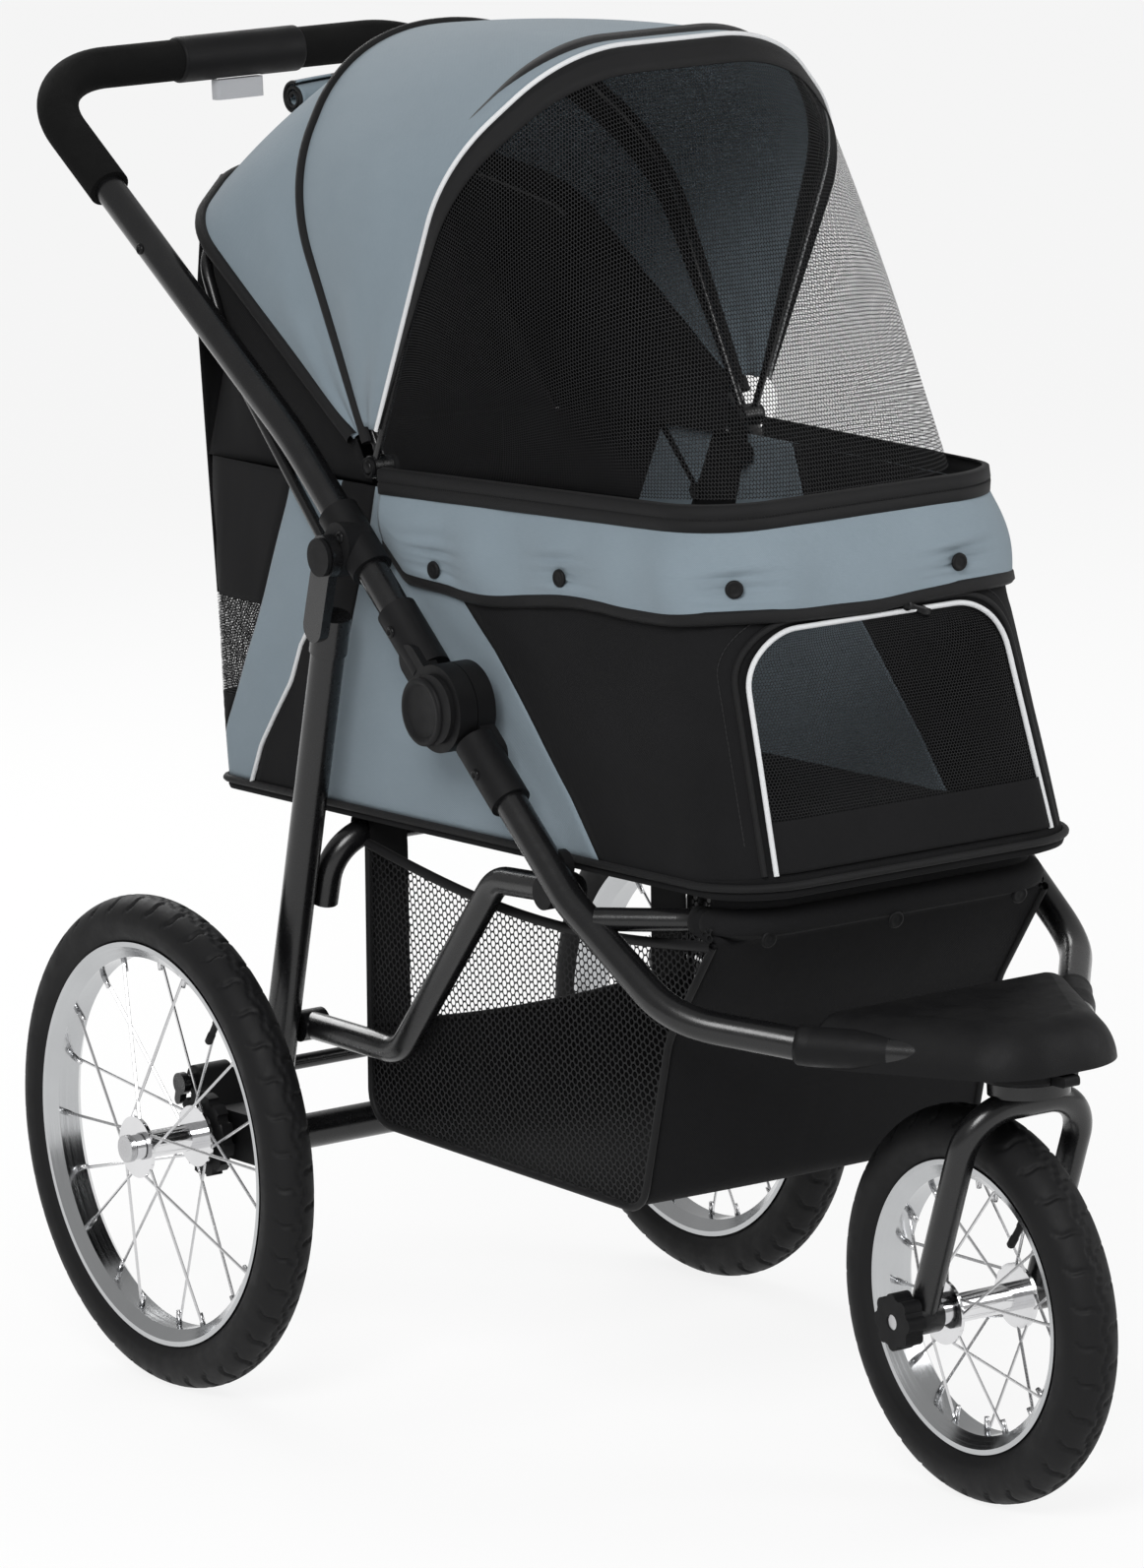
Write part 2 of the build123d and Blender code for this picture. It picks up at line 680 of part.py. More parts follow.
# Front hoop, a bent bar between the lower tubes that the cabin and the basket hang on
hoop_half = [(tube_x - 3, hoop_end_y, hoop_z), (hoop_half_width, hoop_end_y - 62, hoop_z),
             (hoop_half_width, hoop_front_y, hoop_z)]
hoop_route = hoop_half + [(-x, y, z) for x, y, z in reversed(hoop_half)]
front_hoop = bar(hoop_route, hoop_radius, hoop_bend_radius)
pieces["front_hoop"] = front_hoop - lower_tube_core - mirrored(lower_tube_core)


# Cabin: a lofted cloth box, cut into its panels
def cabin_outline(inset, z, rear_half, mid_half, front_half, front_y):
    """Plan of the cabin at one height: widest at the taper line, with round front corners."""
    corners = [
        (-rear_half + inset, cabin_rear_y - inset), (rear_half - inset, cabin_rear_y - inset),
        (mid_half - inset, cabin_taper_y), (front_half - inset, front_y + inset),
        (-front_half + inset, front_y + inset), (-mid_half + inset, cabin_taper_y),
    ]
    rear_round = max(cabin_rear_round - inset, 4)
    front_round = max(cabin_corner_round - inset, 8)
    taper_round = cabin_taper_round
    rounds = [rear_round, rear_round, taper_round, front_round, front_round, taper_round]
    return Pos(0, 0, z) * make_face(FilletPolyline(*corners, radius=rounds, close=True))


def base_outline(inset, z):
    return cabin_outline(inset, z, cabin_half_width, cabin_half_width, cabin_front_half_width, cabin_front_y)


def rim_outline(inset, z):
    return cabin_outline(inset, z, rim_rear_half_width, rim_half_width, rim_front_half_width, rim_front_y)


def region(x_from, x_to, y_from, y_to, z_from=base_z, z_to=rear_wall_top_point[1] + 40):
    """A block of space between two corners."""
    size = (x_to - x_from, y_to - y_from, z_to - z_from)
    return Pos(x_from, y_from, z_from) * Box(*size, align=Align.MIN)


cabin_block = loft([base_outline(0, base_top_z), rim_outline(0, rim_z)])
walls = cabin_block - loft([base_outline(cloth, base_top_z), rim_outline(cloth, rim_z)])
far = rim_half_width + 10
seam = door_gap / 2
rear_wall_foot = (cabin_rear_y - cloth / 2, rim_z)
gusset_rear = along(rear_wall_foot, rear_wall_top_point, (gusset_top_z - rim_z) * 0.99)
gusset_slope = tan(radians(gusset_angle))
gusset_front_z = canopy_pivot_point[1] + (gusset_front_y - canopy_pivot_point[0]) * gusset_slope
gusset_bend_y = canopy_pivot_point[0] + (gusset_top_z - canopy_pivot_point[1]) / gusset_slope
gusset = make_face(Polyline(
    (gusset_front_y, rim_z), (rear_seam_y - seam, rim_z), (rear_wall_foot[0] - cloth, rim_z),
    (gusset_rear[0] - cloth, gusset_top_z), (gusset_bend_y, gusset_top_z), (gusset_front_y, gusset_front_z), close=True,
))
gusset_x = rim_rear_half_width - cloth
gusset = extrude(Plane(origin=(gusset_x, 0, 0), x_dir=(0, 1, 0), z_dir=(1, 0, 0)) * gusset, cloth)
side_panel = walls & region(0, far, front_seam_y + seam, rear_seam_y - seam)
side_panel += gusset
pieces["cabin_side_left"] = side_panel
pieces["cabin_side_right"] = mirrored(side_panel)


def door_arch(gap):
    """The arch of the front door, shrunk by gap."""
    half = door_half_width - gap
    arch = FilletPolyline(
        (-half, door_sill_z + gap), (-half * 0.92, door_top_z - gap), (half * 0.92, door_top_z - gap),
        (half, door_sill_z + gap), radius=door_round,
    )
    face = make_face([*arch.edges(), Line(arch @ 1, arch @ 0)])
    return extrude(Plane(origin=(0, rim_front_y + 60, 0), x_dir=(1, 0, 0), z_dir=(0, -1, 0)) * face, 200)


front_panel = walls & region(-far, far, cabin_front_y - 10, front_seam_y - seam)
pieces["cabin_front"] = front_panel - door_arch(0)
pieces["door_flap"] = front_panel & door_arch(door_gap)
rear_panel = walls & region(-far, far, rear_seam_y + seam, cabin_rear_y + 10)
rear_wall_run = Line(rear_wall_foot, rear_wall_top_point)
rear_wall_edge = make_face(offset(rear_wall_run, cloth / 2))
side_plane = Plane(origin=(0, 0, 0), x_dir=(0, 1, 0), z_dir=(1, 0, 0))
rear_top = extrude(side_plane * rear_wall_edge, rear_wall_half_width, both=True)
pieces["cabin_rear"] = rear_panel + rear_top
base = extrude(base_outline(0, base_z), base_thickness)
strap = region(-strap_width / 2, strap_width / 2, hoop_front_y - 14, hoop_front_y + 14, hoop_z, base_z)
for x in (-hoop_half_width * 0.55, hoop_half_width * 0.55):
    base += Pos(x, 0, 0) * strap
pieces["cabin_base"] = base - front_hoop
rim_ring = extrude(rim_outline(-rim_thickness / 2, rim_z), rim_height)
rim_ring -= extrude(rim_outline(rim_thickness / 2, rim_z - 1), rim_height + 2)
rim_rear_y = canopy_pivot_point[0] - canopy_eye_radius - rim_end_gap
pieces["cabin_rim"] = rim_ring & region(-far, far, rim_front_y - 20, rim_rear_y, rim_z - 5, rim_z + 40)

# Floor mat, a padded cushion with a low crown and drawn-in edges
mat_sections = [
    base_outline(mat_inset + 6, base_top_z + 0.4), base_outline(mat_inset, base_top_z + mat_height * 0.45),
    base_outline(mat_inset + 12, base_top_z + mat_height * 0.82), base_outline(mat_inset + 48, base_top_z + mat_height),
]
pieces["floor_mat"] = loft(mat_sections)


# Canopy
def bow_plane(angle):
    """Plane through the canopy pivots, with local y pointing out at an angle above the back."""
    turn = radians(angle)
    return Plane(origin=side(0, canopy_pivot_point), x_dir=(1, 0, 0), z_dir=(0, -sin(turn), cos(turn)))


def arch_points(half, shoulder, top_half, reach, start, grow=0):
    """Corners of an arch with sloped shoulders, moved outwards by grow on every run."""
    slope = atan2(reach - shoulder, half - top_half)
    low = (half + grow, shoulder + grow * (1 - sin(slope)) / cos(slope))
    top = (top_half + grow * (1 - cos(slope)) / sin(slope), reach + grow)
    return mirrored_corners([(half + grow, start), low, top])


def mirrored_corners(right):
    """Corners of a whole arch, from those of its right half."""
    return [(-x, y) for x, y in right] + list(reversed(right))


def bow(angle, arch, bend, radius):
    """A bow: a bar bent to an arch, with an eye at each end for the canopy pin."""
    plane = bow_plane(angle)
    half = arch[0]
    points = [plane.from_local_coords((x, y, 0)) for x, y in arch_points(*arch, canopy_eye_radius - 2)]
    bent = bar(points, radius, bend)
    for x in (-half, half):
        bent += cross_pin(x - radius - eye_side, x + radius + eye_side, canopy_pivot_point, canopy_eye_radius)
        bent -= cross_pin(x - radius - 1, x + radius + 1, canopy_pivot_point, canopy_pin_radius + running_clearance)
    return bent


def strip_face(inside_points, outside_points, inside_round, thickness):
    """The face between two arches that run side by side."""
    outside = FilletPolyline(*outside_points, radius=inside_round + thickness)
    inside = FilletPolyline(*inside_points, radius=inside_round)
    ends = [Line(outside @ 0, inside @ 0), Line(outside @ 1, inside @ 1)]
    return make_face([*outside.edges(), *inside.edges(), *ends])


def cloth_band(angle, arch, bend, grow, thickness):
    """A strip of cloth, seen on edge, that follows an arch at a distance grow outside it."""
    inside = arch_points(*arch, canopy_cloth_start, grow)
    outside = arch_points(*arch, canopy_cloth_start, grow + thickness)
    return bow_plane(angle) * strip_face(inside, outside, bend + grow, thickness)


def window_foot():
    """The lower edge of the net window, seen on edge, round the front of the cabin rim."""
    reach = canopy_pivot_point[0] - rim_front_y - net_thickness
    corners = [(rim_half_width, canopy_cloth_start), (rim_front_half_width, reach * 0.8),
               (rim_front_half_width * 0.66, reach)]
    outside = [(x + net_thickness, y) for x, y in corners[:2]] + [(corners[2][0], reach + net_thickness)]
    return bow_plane(180) * strip_face(mirrored_corners(corners), mirrored_corners(outside), window_foot_round, 0)


mid_arch = (mid_bow_half_width, mid_bow_shoulder, mid_bow_top_half_width, mid_bow_reach)
front_arch = (front_bow_half_width, front_bow_shoulder, front_bow_top_half_width, front_bow_reach)
rear_edge_arch = (rear_edge_half_width, rear_edge_shoulder, rear_edge_top_half_width, rear_edge_reach)
pieces["mid_bow"] = bow(mid_bow_angle, mid_arch, mid_bow_round, mid_bow_radius)
pieces["front_bow"] = bow(front_bow_angle, front_arch, front_bow_round, front_bow_radius)
pin_to = front_bow_half_width + front_bow_radius + 2 * eye_side
canopy_pin = cross_pin(canopy_clip_x, pin_to, canopy_pivot_point, canopy_pin_radius)
canopy_pin += cross_pin(pin_to, pin_to + canopy_pin_head, canopy_pivot_point, canopy_pin_head_radius)
clip_foot = (canopy_pivot_point[0], canopy_pivot_point[1] - canopy_clip_drop)
clip_to = canopy_clip_x + canopy_clip_thickness
canopy_pin += cross_plate(canopy_clip_x, clip_to, canopy_pivot_point, clip_foot, canopy_pin_head_radius)
canopy_pin += cross_pin(canopy_clip_x, rim_half_width, clip_foot, canopy_pin_head_radius) & cabin_block
canopy_pin -= walls
pieces["canopy_pivots"] = both(canopy_pin)
mid_grow = mid_bow_radius + canopy_cloth_gap
front_grow = front_bow_radius + canopy_cloth_gap
mid_cloth = (mid_arch, mid_bow_round, mid_grow, canopy_cloth)
pieces["canopy_rear_panel"] = loft(
    [cloth_band(rear_edge_angle, rear_edge_arch, rear_edge_round, 0, canopy_cloth),
     cloth_band(mid_bow_angle - seam_angle, *mid_cloth)],
    ruled=True,
)
pieces["canopy_visor"] = loft(
    [cloth_band(mid_bow_angle + seam_angle, *mid_cloth),
     cloth_band(front_bow_angle, front_arch, front_bow_round, front_grow, canopy_cloth)],
    ruled=True,
)
pieces["mesh_window"] = loft(
    [cloth_band(front_bow_angle + seam_angle, front_arch, front_bow_round, front_grow, net_thickness), window_foot()],
    ruled=True,
)

# Rear hoop, one bent bar that stiffens the back of the cabin, with a tab at each foot on the side wall
hoop_right = [rear_hoop_foot, rear_hoop_bend, rear_hoop_shoulder, rear_hoop_top]
rear_hoop_route = hoop_right + [(-x, y, z) for x, y, z in reversed(hoop_right)]
rear_hoop = bar(rear_hoop_route, rear_hoop_radius, rear_hoop_round)
hoop_tab = cross_pin(
    rim_rear_half_width - cloth, rear_hoop_foot[0] + 1, rear_hoop_foot[1:], rear_hoop_tab_radius
) - cabin_block
pieces["rear_hoop"] = rear_hoop + hoop_tab + mirrored(hoop_tab)

# Basket: a cloth sheet round the back, bottom and front, and a net on each side
basket_half_width = link_x - link_radius - basket_link_gap
basket_low_front, basket_mid_front, basket_top_front = ((swivel_y + run, z) for run, z in basket_front_runs)
basket_route = [basket_top_rear, basket_low_rear, basket_low_front, basket_mid_front, basket_top_front]
basket_path = FilletPolyline(*[(y, z) for y, z in basket_route], radius=basket_round)
basket_face = make_face([*basket_path.edges(), Line(basket_path @ 1, basket_path @ 0)])
sheet_half = basket_half_width - basket_cloth - door_gap
inner_face = offset(basket_face, -basket_cloth)
open_top = Pos(0, basket_top_front[1] - 6) * Rectangle(2 * wheelbase, rim_z, align=(Align.CENTER, Align.MIN))
sheet_face = basket_face - inner_face - open_top
sheet_body = extrude(side_plane * sheet_face, sheet_half, both=True)
pieces["basket_sheet"] = sheet_body.solids().sort_by(SortBy.VOLUME)[-1]
net_face = basket_face
holes = GridLocations(net_pitch, net_pitch * 0.87, 17, 9)
middle = ((basket_low_rear[0] + basket_low_front[0]) / 2, (basket_top_rear[1] + basket_low_front[1]) / 2)
hole = RegularPolygon((net_pitch - net_bar) / 2, 6)
inside_net = offset(basket_face, -net_bar * 2.4)
cells = []
for row in range(9):
    for column in range(17):
        shift = net_pitch / 2 if row % 2 else 0
        place = (middle[0] + (column - 8) * net_pitch + shift, middle[1] + (row - 4) * net_pitch * 0.87)
        cell = Pos(*place) * hole
        corner_points = [tuple(corner) for corner in cell.vertices()]
        if all(inside_net.is_inside(point) for point in corner_points):
            cells.append(cell)
net_face = basket_face - cells
net = extrude(side_plane * net_face, net_thickness)
net = Pos(basket_half_width - net_thickness, 0, 0) * net
pieces["basket_net_left"] = net
pieces["basket_net_right"] = mirrored(net)

os.makedirs("parts", exist_ok=True)
for name, shape in pieces.items():
    export_step(Pos(0, centre_shift, 0) * shape, f"parts/{name}.step")
print(len(pieces), "nodes, shifted back by", centre_shift)
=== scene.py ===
import bpy
import numpy as np
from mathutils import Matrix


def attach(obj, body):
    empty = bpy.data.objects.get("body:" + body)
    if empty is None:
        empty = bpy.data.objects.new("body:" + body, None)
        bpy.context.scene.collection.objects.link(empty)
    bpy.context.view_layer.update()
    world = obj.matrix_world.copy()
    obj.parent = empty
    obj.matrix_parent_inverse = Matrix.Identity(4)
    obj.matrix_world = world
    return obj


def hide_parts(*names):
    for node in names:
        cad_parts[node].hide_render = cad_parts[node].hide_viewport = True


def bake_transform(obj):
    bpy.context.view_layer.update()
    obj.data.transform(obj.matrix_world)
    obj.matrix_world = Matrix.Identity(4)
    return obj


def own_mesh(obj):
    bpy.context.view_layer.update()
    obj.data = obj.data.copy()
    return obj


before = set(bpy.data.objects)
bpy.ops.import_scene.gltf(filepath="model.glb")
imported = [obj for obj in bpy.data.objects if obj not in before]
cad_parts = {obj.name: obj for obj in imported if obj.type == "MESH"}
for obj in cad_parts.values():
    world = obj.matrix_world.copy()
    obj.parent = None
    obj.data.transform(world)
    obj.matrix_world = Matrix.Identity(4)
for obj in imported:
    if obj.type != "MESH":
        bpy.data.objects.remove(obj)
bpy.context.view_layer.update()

# Studio: a camera at the height of a standing adult's chest, a white floor that runs out of view, and
# broad soft lamps. All heights are from the floor and all lengths from the rear axle, in metres.
axle_y = 0.3115
camera_target = np.array([0.0, 0.0996, 0.4817])
camera_turn, camera_rise, camera_roll = np.radians([-34.13, 10.45, -2.48])
camera_distance = 6.4439
back = np.array([
    np.sin(camera_turn) * np.cos(camera_rise), -np.cos(camera_turn) * np.cos(camera_rise), np.sin(camera_rise)
])


def unit(vectors):
    """Scales a vector, or each row of a list of vectors, to length one."""
    return np.asarray(vectors, float) / np.linalg.norm(vectors, axis=-1, keepdims=True)


def stand(data, right, above, back, place):
    """Puts a camera or lamp in the scene at a place, with its own axes along the three directions."""
    made = bpy.data.objects.new(data.name, data)
    matrix = np.eye(4)
    matrix[:3] = np.stack([right, above, back, place], axis=1)
    made.matrix_world = matrix.T.tolist()
    bpy.context.collection.objects.link(made)
    return made


level = unit(np.cross([0, 0, 1], back))
upright = np.cross(back, level)
lens = bpy.data.cameras.new("studio_camera")
lens.lens = 186.83
lens.sensor_width = 36
lens.clip_end = 60
bpy.context.scene.camera = stand(
    lens, level * np.cos(camera_roll) + upright * np.sin(camera_roll),
    upright * np.cos(camera_roll) - level * np.sin(camera_roll), back, camera_target + back * camera_distance,
)
bpy.context.scene.view_settings.view_transform = "Standard"


def fill(tree, made, **inputs):
    """Fills a node's inputs, named with _ for spaces or numbered i0, i1 and on, with values or sockets."""
    for key, value in inputs.items():
        socket = made.inputs[int(key[1:])] if key[1:].isdigit() else made.inputs[key.replace("_", " ")]
        if isinstance(value, bpy.types.NodeSocket):
            tree.links.new(value, socket)
        else:
            socket.default_value = value


def node(tree, kind, settings=None, **inputs):
    """Adds a shader node, sets its options and fills its inputs."""
    made = tree.nodes.new("ShaderNode" + kind)
    for key, value in (settings or {}).items():
        setattr(made, key, value)
    fill(tree, made, **inputs)
    return made


def sums(tree, operation, first, second=0.0, third=0.0):
    """One Math node; gives back its result socket."""
    return node(tree, "Math", {"operation": operation}, i0=first, i1=second, i2=third).outputs[0]


def new_material(name):
    """A new material; gives the material, its node tree and its shader."""
    made = bpy.data.materials.new(name)
    made.use_nodes = True
    return made, made.node_tree, made.node_tree.nodes["Principled BSDF"]


def ground_material():
    """White floor: plain paint takes the shadow, and the camera and mirrors see it mostly as even white."""
    made, tree, _ = new_material("studio_floor")
    tree.nodes.clear()
    path = node(tree, "LightPath")
    seen = sums(tree, "MAXIMUM", path.outputs["Is Camera Ray"], path.outputs["Is Glossy Ray"])
    seen = sums(tree, "MAXIMUM", seen, path.outputs["Is Transmission Ray"])
    paint = node(tree, "BsdfDiffuse", Color=(0.9, 0.9, 0.9, 1))
    even = node(tree, "Emission", Color=(1, 1, 1, 1), Strength=1.0)
    share = sums(tree, "MULTIPLY", seen, 0.86)
    mixed = node(tree, "MixShader", i0=share, i1=paint.outputs[0], i2=even.outputs[0])
    node(tree, "OutputMaterial", Surface=mixed.outputs[0])
    return made


floor_mesh = bpy.data.meshes.new("studio_floor")
floor_mesh.from_pydata([(-40, -40, 0), (40, -40, 0), (40, 40, 0), (-40, 40, 0)], [], [(0, 1, 2, 3)])
floor_mesh.materials.append(ground_material())
floor = bpy.data.objects.new("studio_floor", floor_mesh)
bpy.context.collection.objects.link(floor)

world = bpy.data.worlds.new("studio_air")
bpy.context.scene.world = world
world.use_nodes = True
world.node_tree.nodes.clear()
sight = node(world.node_tree, "LightPath")
seen_air = sums(
    world.node_tree, "MAXIMUM", sight.outputs["Is Camera Ray"], sight.outputs["Is Transmission Ray"]
)
air_strength = sums(world.node_tree, "MULTIPLY_ADD", seen_air, 0.6, 0.4)
air = node(world.node_tree, "Background", Color=(1, 1, 1, 1), Strength=air_strength)
node(world.node_tree, "OutputWorld", Surface=air.outputs[0])

for lamp_name, lamp_place, lamp_size, lamp_power in (
    ("key_lamp", (-2.6, -2.4, 2.9), 2.0, 118),
    ("fill_lamp", (2.8, -2.2, 1.9), 2.4, 46),
    ("back_lamp", (0.6, 3.2, 2.6), 2.2, 62),
):
    lamp = bpy.data.lights.new(lamp_name, "AREA")
    lamp.shape = "DISK"
    lamp.size = lamp_size
    lamp.energy = lamp_power
    aim = unit(np.array([0, 0, 0.5]) - np.array(lamp_place))
    lamp_side = unit(np.cross(aim, [0, 0, 1]))
    stand(lamp, lamp_side, np.cross(lamp_side, aim), -aim, lamp_place)

# Steel frame: round steel tubes, bent, welded and coated with semi-gloss black powder. The coat has a
# faint orange peel, and gathers a little dust on the faces that look up.


def shader_group(name, inputs, outputs):
    """A shader node group with named inputs and outputs; gives its tree, input sockets and output node."""
    tree = bpy.data.node_groups.new(name, "ShaderNodeTree")
    for label, kind, value in inputs:
        socket = tree.interface.new_socket(label, in_out="INPUT", socket_type="NodeSocket" + kind)
        socket.default_value = value
    for label in outputs:
        tree.interface.new_socket(label, in_out="OUTPUT", socket_type="NodeSocketFloat")
    return tree, tree.nodes.new("NodeGroupInput").outputs, tree.nodes.new("NodeGroupOutput")


def ramp(tree, value, low, high, start=0.0, end=1.0):
    """A Map Range node that spreads a value between low and high from start to end; gives its result socket."""
    return node(tree, "MapRange", Value=value, i1=low, i2=high, i3=start, i4=end).outputs[0]


handling, handling_in, handling_out = shader_group(
    "handling marks", [("Place", "Vector", (0, 0, 0)), ("Grain", "Float", 900.0)], ["Dust", "Rub", "Grain"]
)
cloud = node(handling, "TexNoise", Vector=handling_in["Place"], Scale=14.0, Detail=5.0, Roughness=0.62)
upward = node(handling, "SeparateXYZ", Vector=node(handling, "NewGeometry").outputs["Normal"]).outputs["Z"]
dusty = sums(handling, "MULTIPLY", ramp(handling, upward, 0.2, 1.0), ramp(handling, cloud.outputs[0], 0.42, 0.75))
streak = node(handling, "TexNoise", Vector=handling_in["Place"], Scale=55.0, Detail=3.0, Roughness=0.7)
fine = node(handling, "TexNoise", Vector=handling_in["Place"], Scale=handling_in["Grain"], Detail=2.0)
fill(handling, handling_out, Dust=dusty, Rub=streak.outputs[0], Grain=fine.outputs[0])


def tint(tree, share, first, second):
    """A mix of two colours; gives its result socket."""
    return node(tree, "Mix", {"data_type": "RGBA"}, Factor=share, i6=(*first, 1), i7=(*second, 1)).outputs[2]


def hard_material(
    name, colour, worn, roughness, spread, grain, bump, metallic=0.0, coat=0.0, shine=0.28,
    wear="Dust", wear_share=0.12, depth=0.0006,
):
    """A hard coated or moulded finish: its colour under dust or wear, its roughness by rubbing, its grain as bump."""
    made, tree, shader = new_material(name)
    place = node(tree, "TexCoord").outputs["Object"]
    marks = node(tree, "Group", {"node_tree": handling}, Place=place, Grain=grain).outputs
    relief = node(tree, "Bump", Height=marks["Grain"], Strength=bump, Distance=depth)
    fill(
        tree, shader, Base_Color=tint(tree, sums(tree, "MULTIPLY", marks[wear], wear_share), colour, worn),
        Roughness=ramp(tree, marks["Rub"], 0.3, 0.7, roughness - spread, roughness + spread),
        Normal=relief.outputs[0], Metallic=metallic, Specular_IOR_Level=shine, Coat_Weight=coat, Coat_Roughness=0.2,
    )
    return made


def dress(material, *names):
    """Gives the named CAD nodes a material."""
    for name in names:
        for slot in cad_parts[name].material_slots:
            slot.material = material


powder_coat = hard_material(
    "black_powder_coat", (0.005, 0.005, 0.0055), (0.05, 0.05, 0.048), 0.27, 0.05, 700.0, 0.08, coat=0.25, shine=0.4
)
dress(
    powder_coat, "lower_tube_left", "lower_tube_right", "upper_tubes", "handlebar", "rear_leg_left",
    "rear_leg_right", "axle_bar", "rear_strut", "link_left", "link_right", "front_hoop", "rear_hoop", "mid_bow",
    "front_bow", "front_fork", "brake_bar",
)

# Moulded joints: fold hubs, pivot brackets, axle holders, fender, swivel block and notched brake rings in
# black glass-filled nylon with a fine spark-eroded grain. They are riveted or screwed to the tubes.
moulding = hard_material(
    "black_moulding", (0.007, 0.007, 0.0075), (0.07, 0.07, 0.068), 0.5, 0.07, 1600.0, 0.35, shine=0.14
)
dress(
    moulding, "fold_hub_lower_halves", "fold_hub_upper_halves", "link_brackets", "leg_brackets", "axle_holders",
    "fender", "swivel_housing", "canopy_pivots", "handle_housing", "brake_ring_left", "brake_ring_right",
    "axle_knob", "swivel_lock",
)
trigger_grey = hard_material("grey_trigger", (0.42, 0.43, 0.45), (0.5, 0.5, 0.48), 0.38, 0.06, 1200.0, 0.15)
dress(trigger_grey, "fold_trigger")

# Grips: two sleeves of black closed-cell foam, pushed over the ends of the handlebar. The skin shows fine
# closed pores.
foam = hard_material("black_foam", (0.007, 0.007, 0.007), (0.06, 0.06, 0.058), 0.86, 0.05, 520.0, 0.6, shine=0.06)
dress(foam, "grips")

# Wheels: polished aluminium rims laced to plated hubs with bright wire spokes, and air-filled rubber tyres.
# The axles are zinc plated steel.


def spun_metal(name, colour, roughness, centre, ring_scale):
    """Bright metal, polished in a lathe: rings of finer and coarser shine about the wheel's axle."""
    made, tree, shader = new_material(name)
    place = node(tree, "TexCoord").outputs["Object"]
    centred = node(tree, "Mapping", Vector=place, Location=(0, -centre[0], -centre[1])).outputs[0]
    parts = node(tree, "SeparateXYZ", Vector=centred).outputs
    ring = sums(tree, "SQRT", sums(tree, "ADD", *[sums(tree, "POWER", parts[axis], 2.0) for axis in "YZ"]))
    turned = node(tree, "CombineXYZ", X=ring, Y=parts["X"]).outputs[0]
    lines = node(tree, "TexNoise", {"noise_dimensions": "2D"}, Vector=turned, Scale=ring_scale, Detail=3.0)
    stain = node(tree, "TexNoise", Vector=place, Scale=22.0, Detail=4.0)
    fill(
        tree, shader, Base_Color=tint(tree, stain.outputs[0], colour, [c * 0.82 for c in colour]),
        Roughness=ramp(tree, lines.outputs[0], 0.25, 0.75, roughness * 0.6, roughness * 1.5), Metallic=1.0,
    )
    return made


def xyz(x, y, z):
    """Points from their three coordinates, each a number or an array."""
    return np.stack(np.broadcast_arrays(x, y, z), axis=-1)


def around(grid, wrap):
    """A grid with its first row or column repeated at the end where that direction is closed."""
    if wrap[0]:
        grid = np.concatenate([grid, grid[:1]])
    if wrap[1]:
        grid = np.concatenate([grid, grid[:, :1]], axis=1)
    return grid


def cells(grid):
    """The four corners of every cell of a grid."""
    return np.stack([grid[:-1, :-1], grid[:-1, 1:], grid[1:, 1:], grid[1:, :-1]], axis=2)


def grid_piece(
    name, points, material, body="front_frame", wrap=(False, False), replaces=(), thickness=0.0, chart=None
):
    """A piece from a grid of points (rows, columns, 3): neighbours joined by quads, wrapped where a direction is
    closed, with a UV map that holds the lengths along both directions in metres, or a given flat chart."""
    index = around(np.arange(points[:, :, 0].size).reshape(points.shape[:2]), wrap)
    full = around(points, wrap)
    if chart is None:
        steps = [np.linalg.norm(np.diff(full, axis=way), axis=2).mean(axis=1 - way) for way in (1, 0)]
        run_u, run_v = [np.concatenate([[0], np.cumsum(step)]) for step in steps]
        chart = np.stack(np.broadcast_arrays(run_u[None, :], run_v[:, None]), axis=-1)
    mesh = bpy.data.meshes.new(name)
    mesh.from_pydata(points.reshape(-1, 3), [], cells(index).reshape(-1, 4))
    layer = mesh.uv_layers.new(name="cut")
    layer.data.foreach_set("uv", cells(chart).astype(np.float32).ravel())
    return finish_piece(name, mesh, material, body, replaces, thickness)


def smooth(mesh):
    """Shades a mesh as one smooth surface."""
    mesh.polygons.foreach_set("use_smooth", np.ones(len(mesh.polygons), dtype=bool))


def finish_piece(name, mesh, material, body, replaces=(), thickness=0.0):
    """Puts a mesh in the scene as one piece on a body, with its material, slot and wall thickness. A piece with no
    body is left unattached."""
    smooth(mesh)
    mesh.materials.append(material)
    piece = bpy.data.objects.new(name, mesh)
    bpy.context.collection.objects.link(piece)
    if thickness:
        wall = piece.modifiers.new("thickness", "SOLIDIFY")
        wall.thickness = thickness
        wall.offset = -1
    if body:
        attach(piece, body)
    if replaces:
        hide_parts(*replaces)
    return piece


rubber = hard_material(
    "tyre_rubber", (0.006, 0.006, 0.0065), (0.018, 0.018, 0.0185), 0.59, 0.09, 1100.0, 0.25, shine=0.18,
    wear="Rub", wear_share=0.5, depth=0.0005,
)


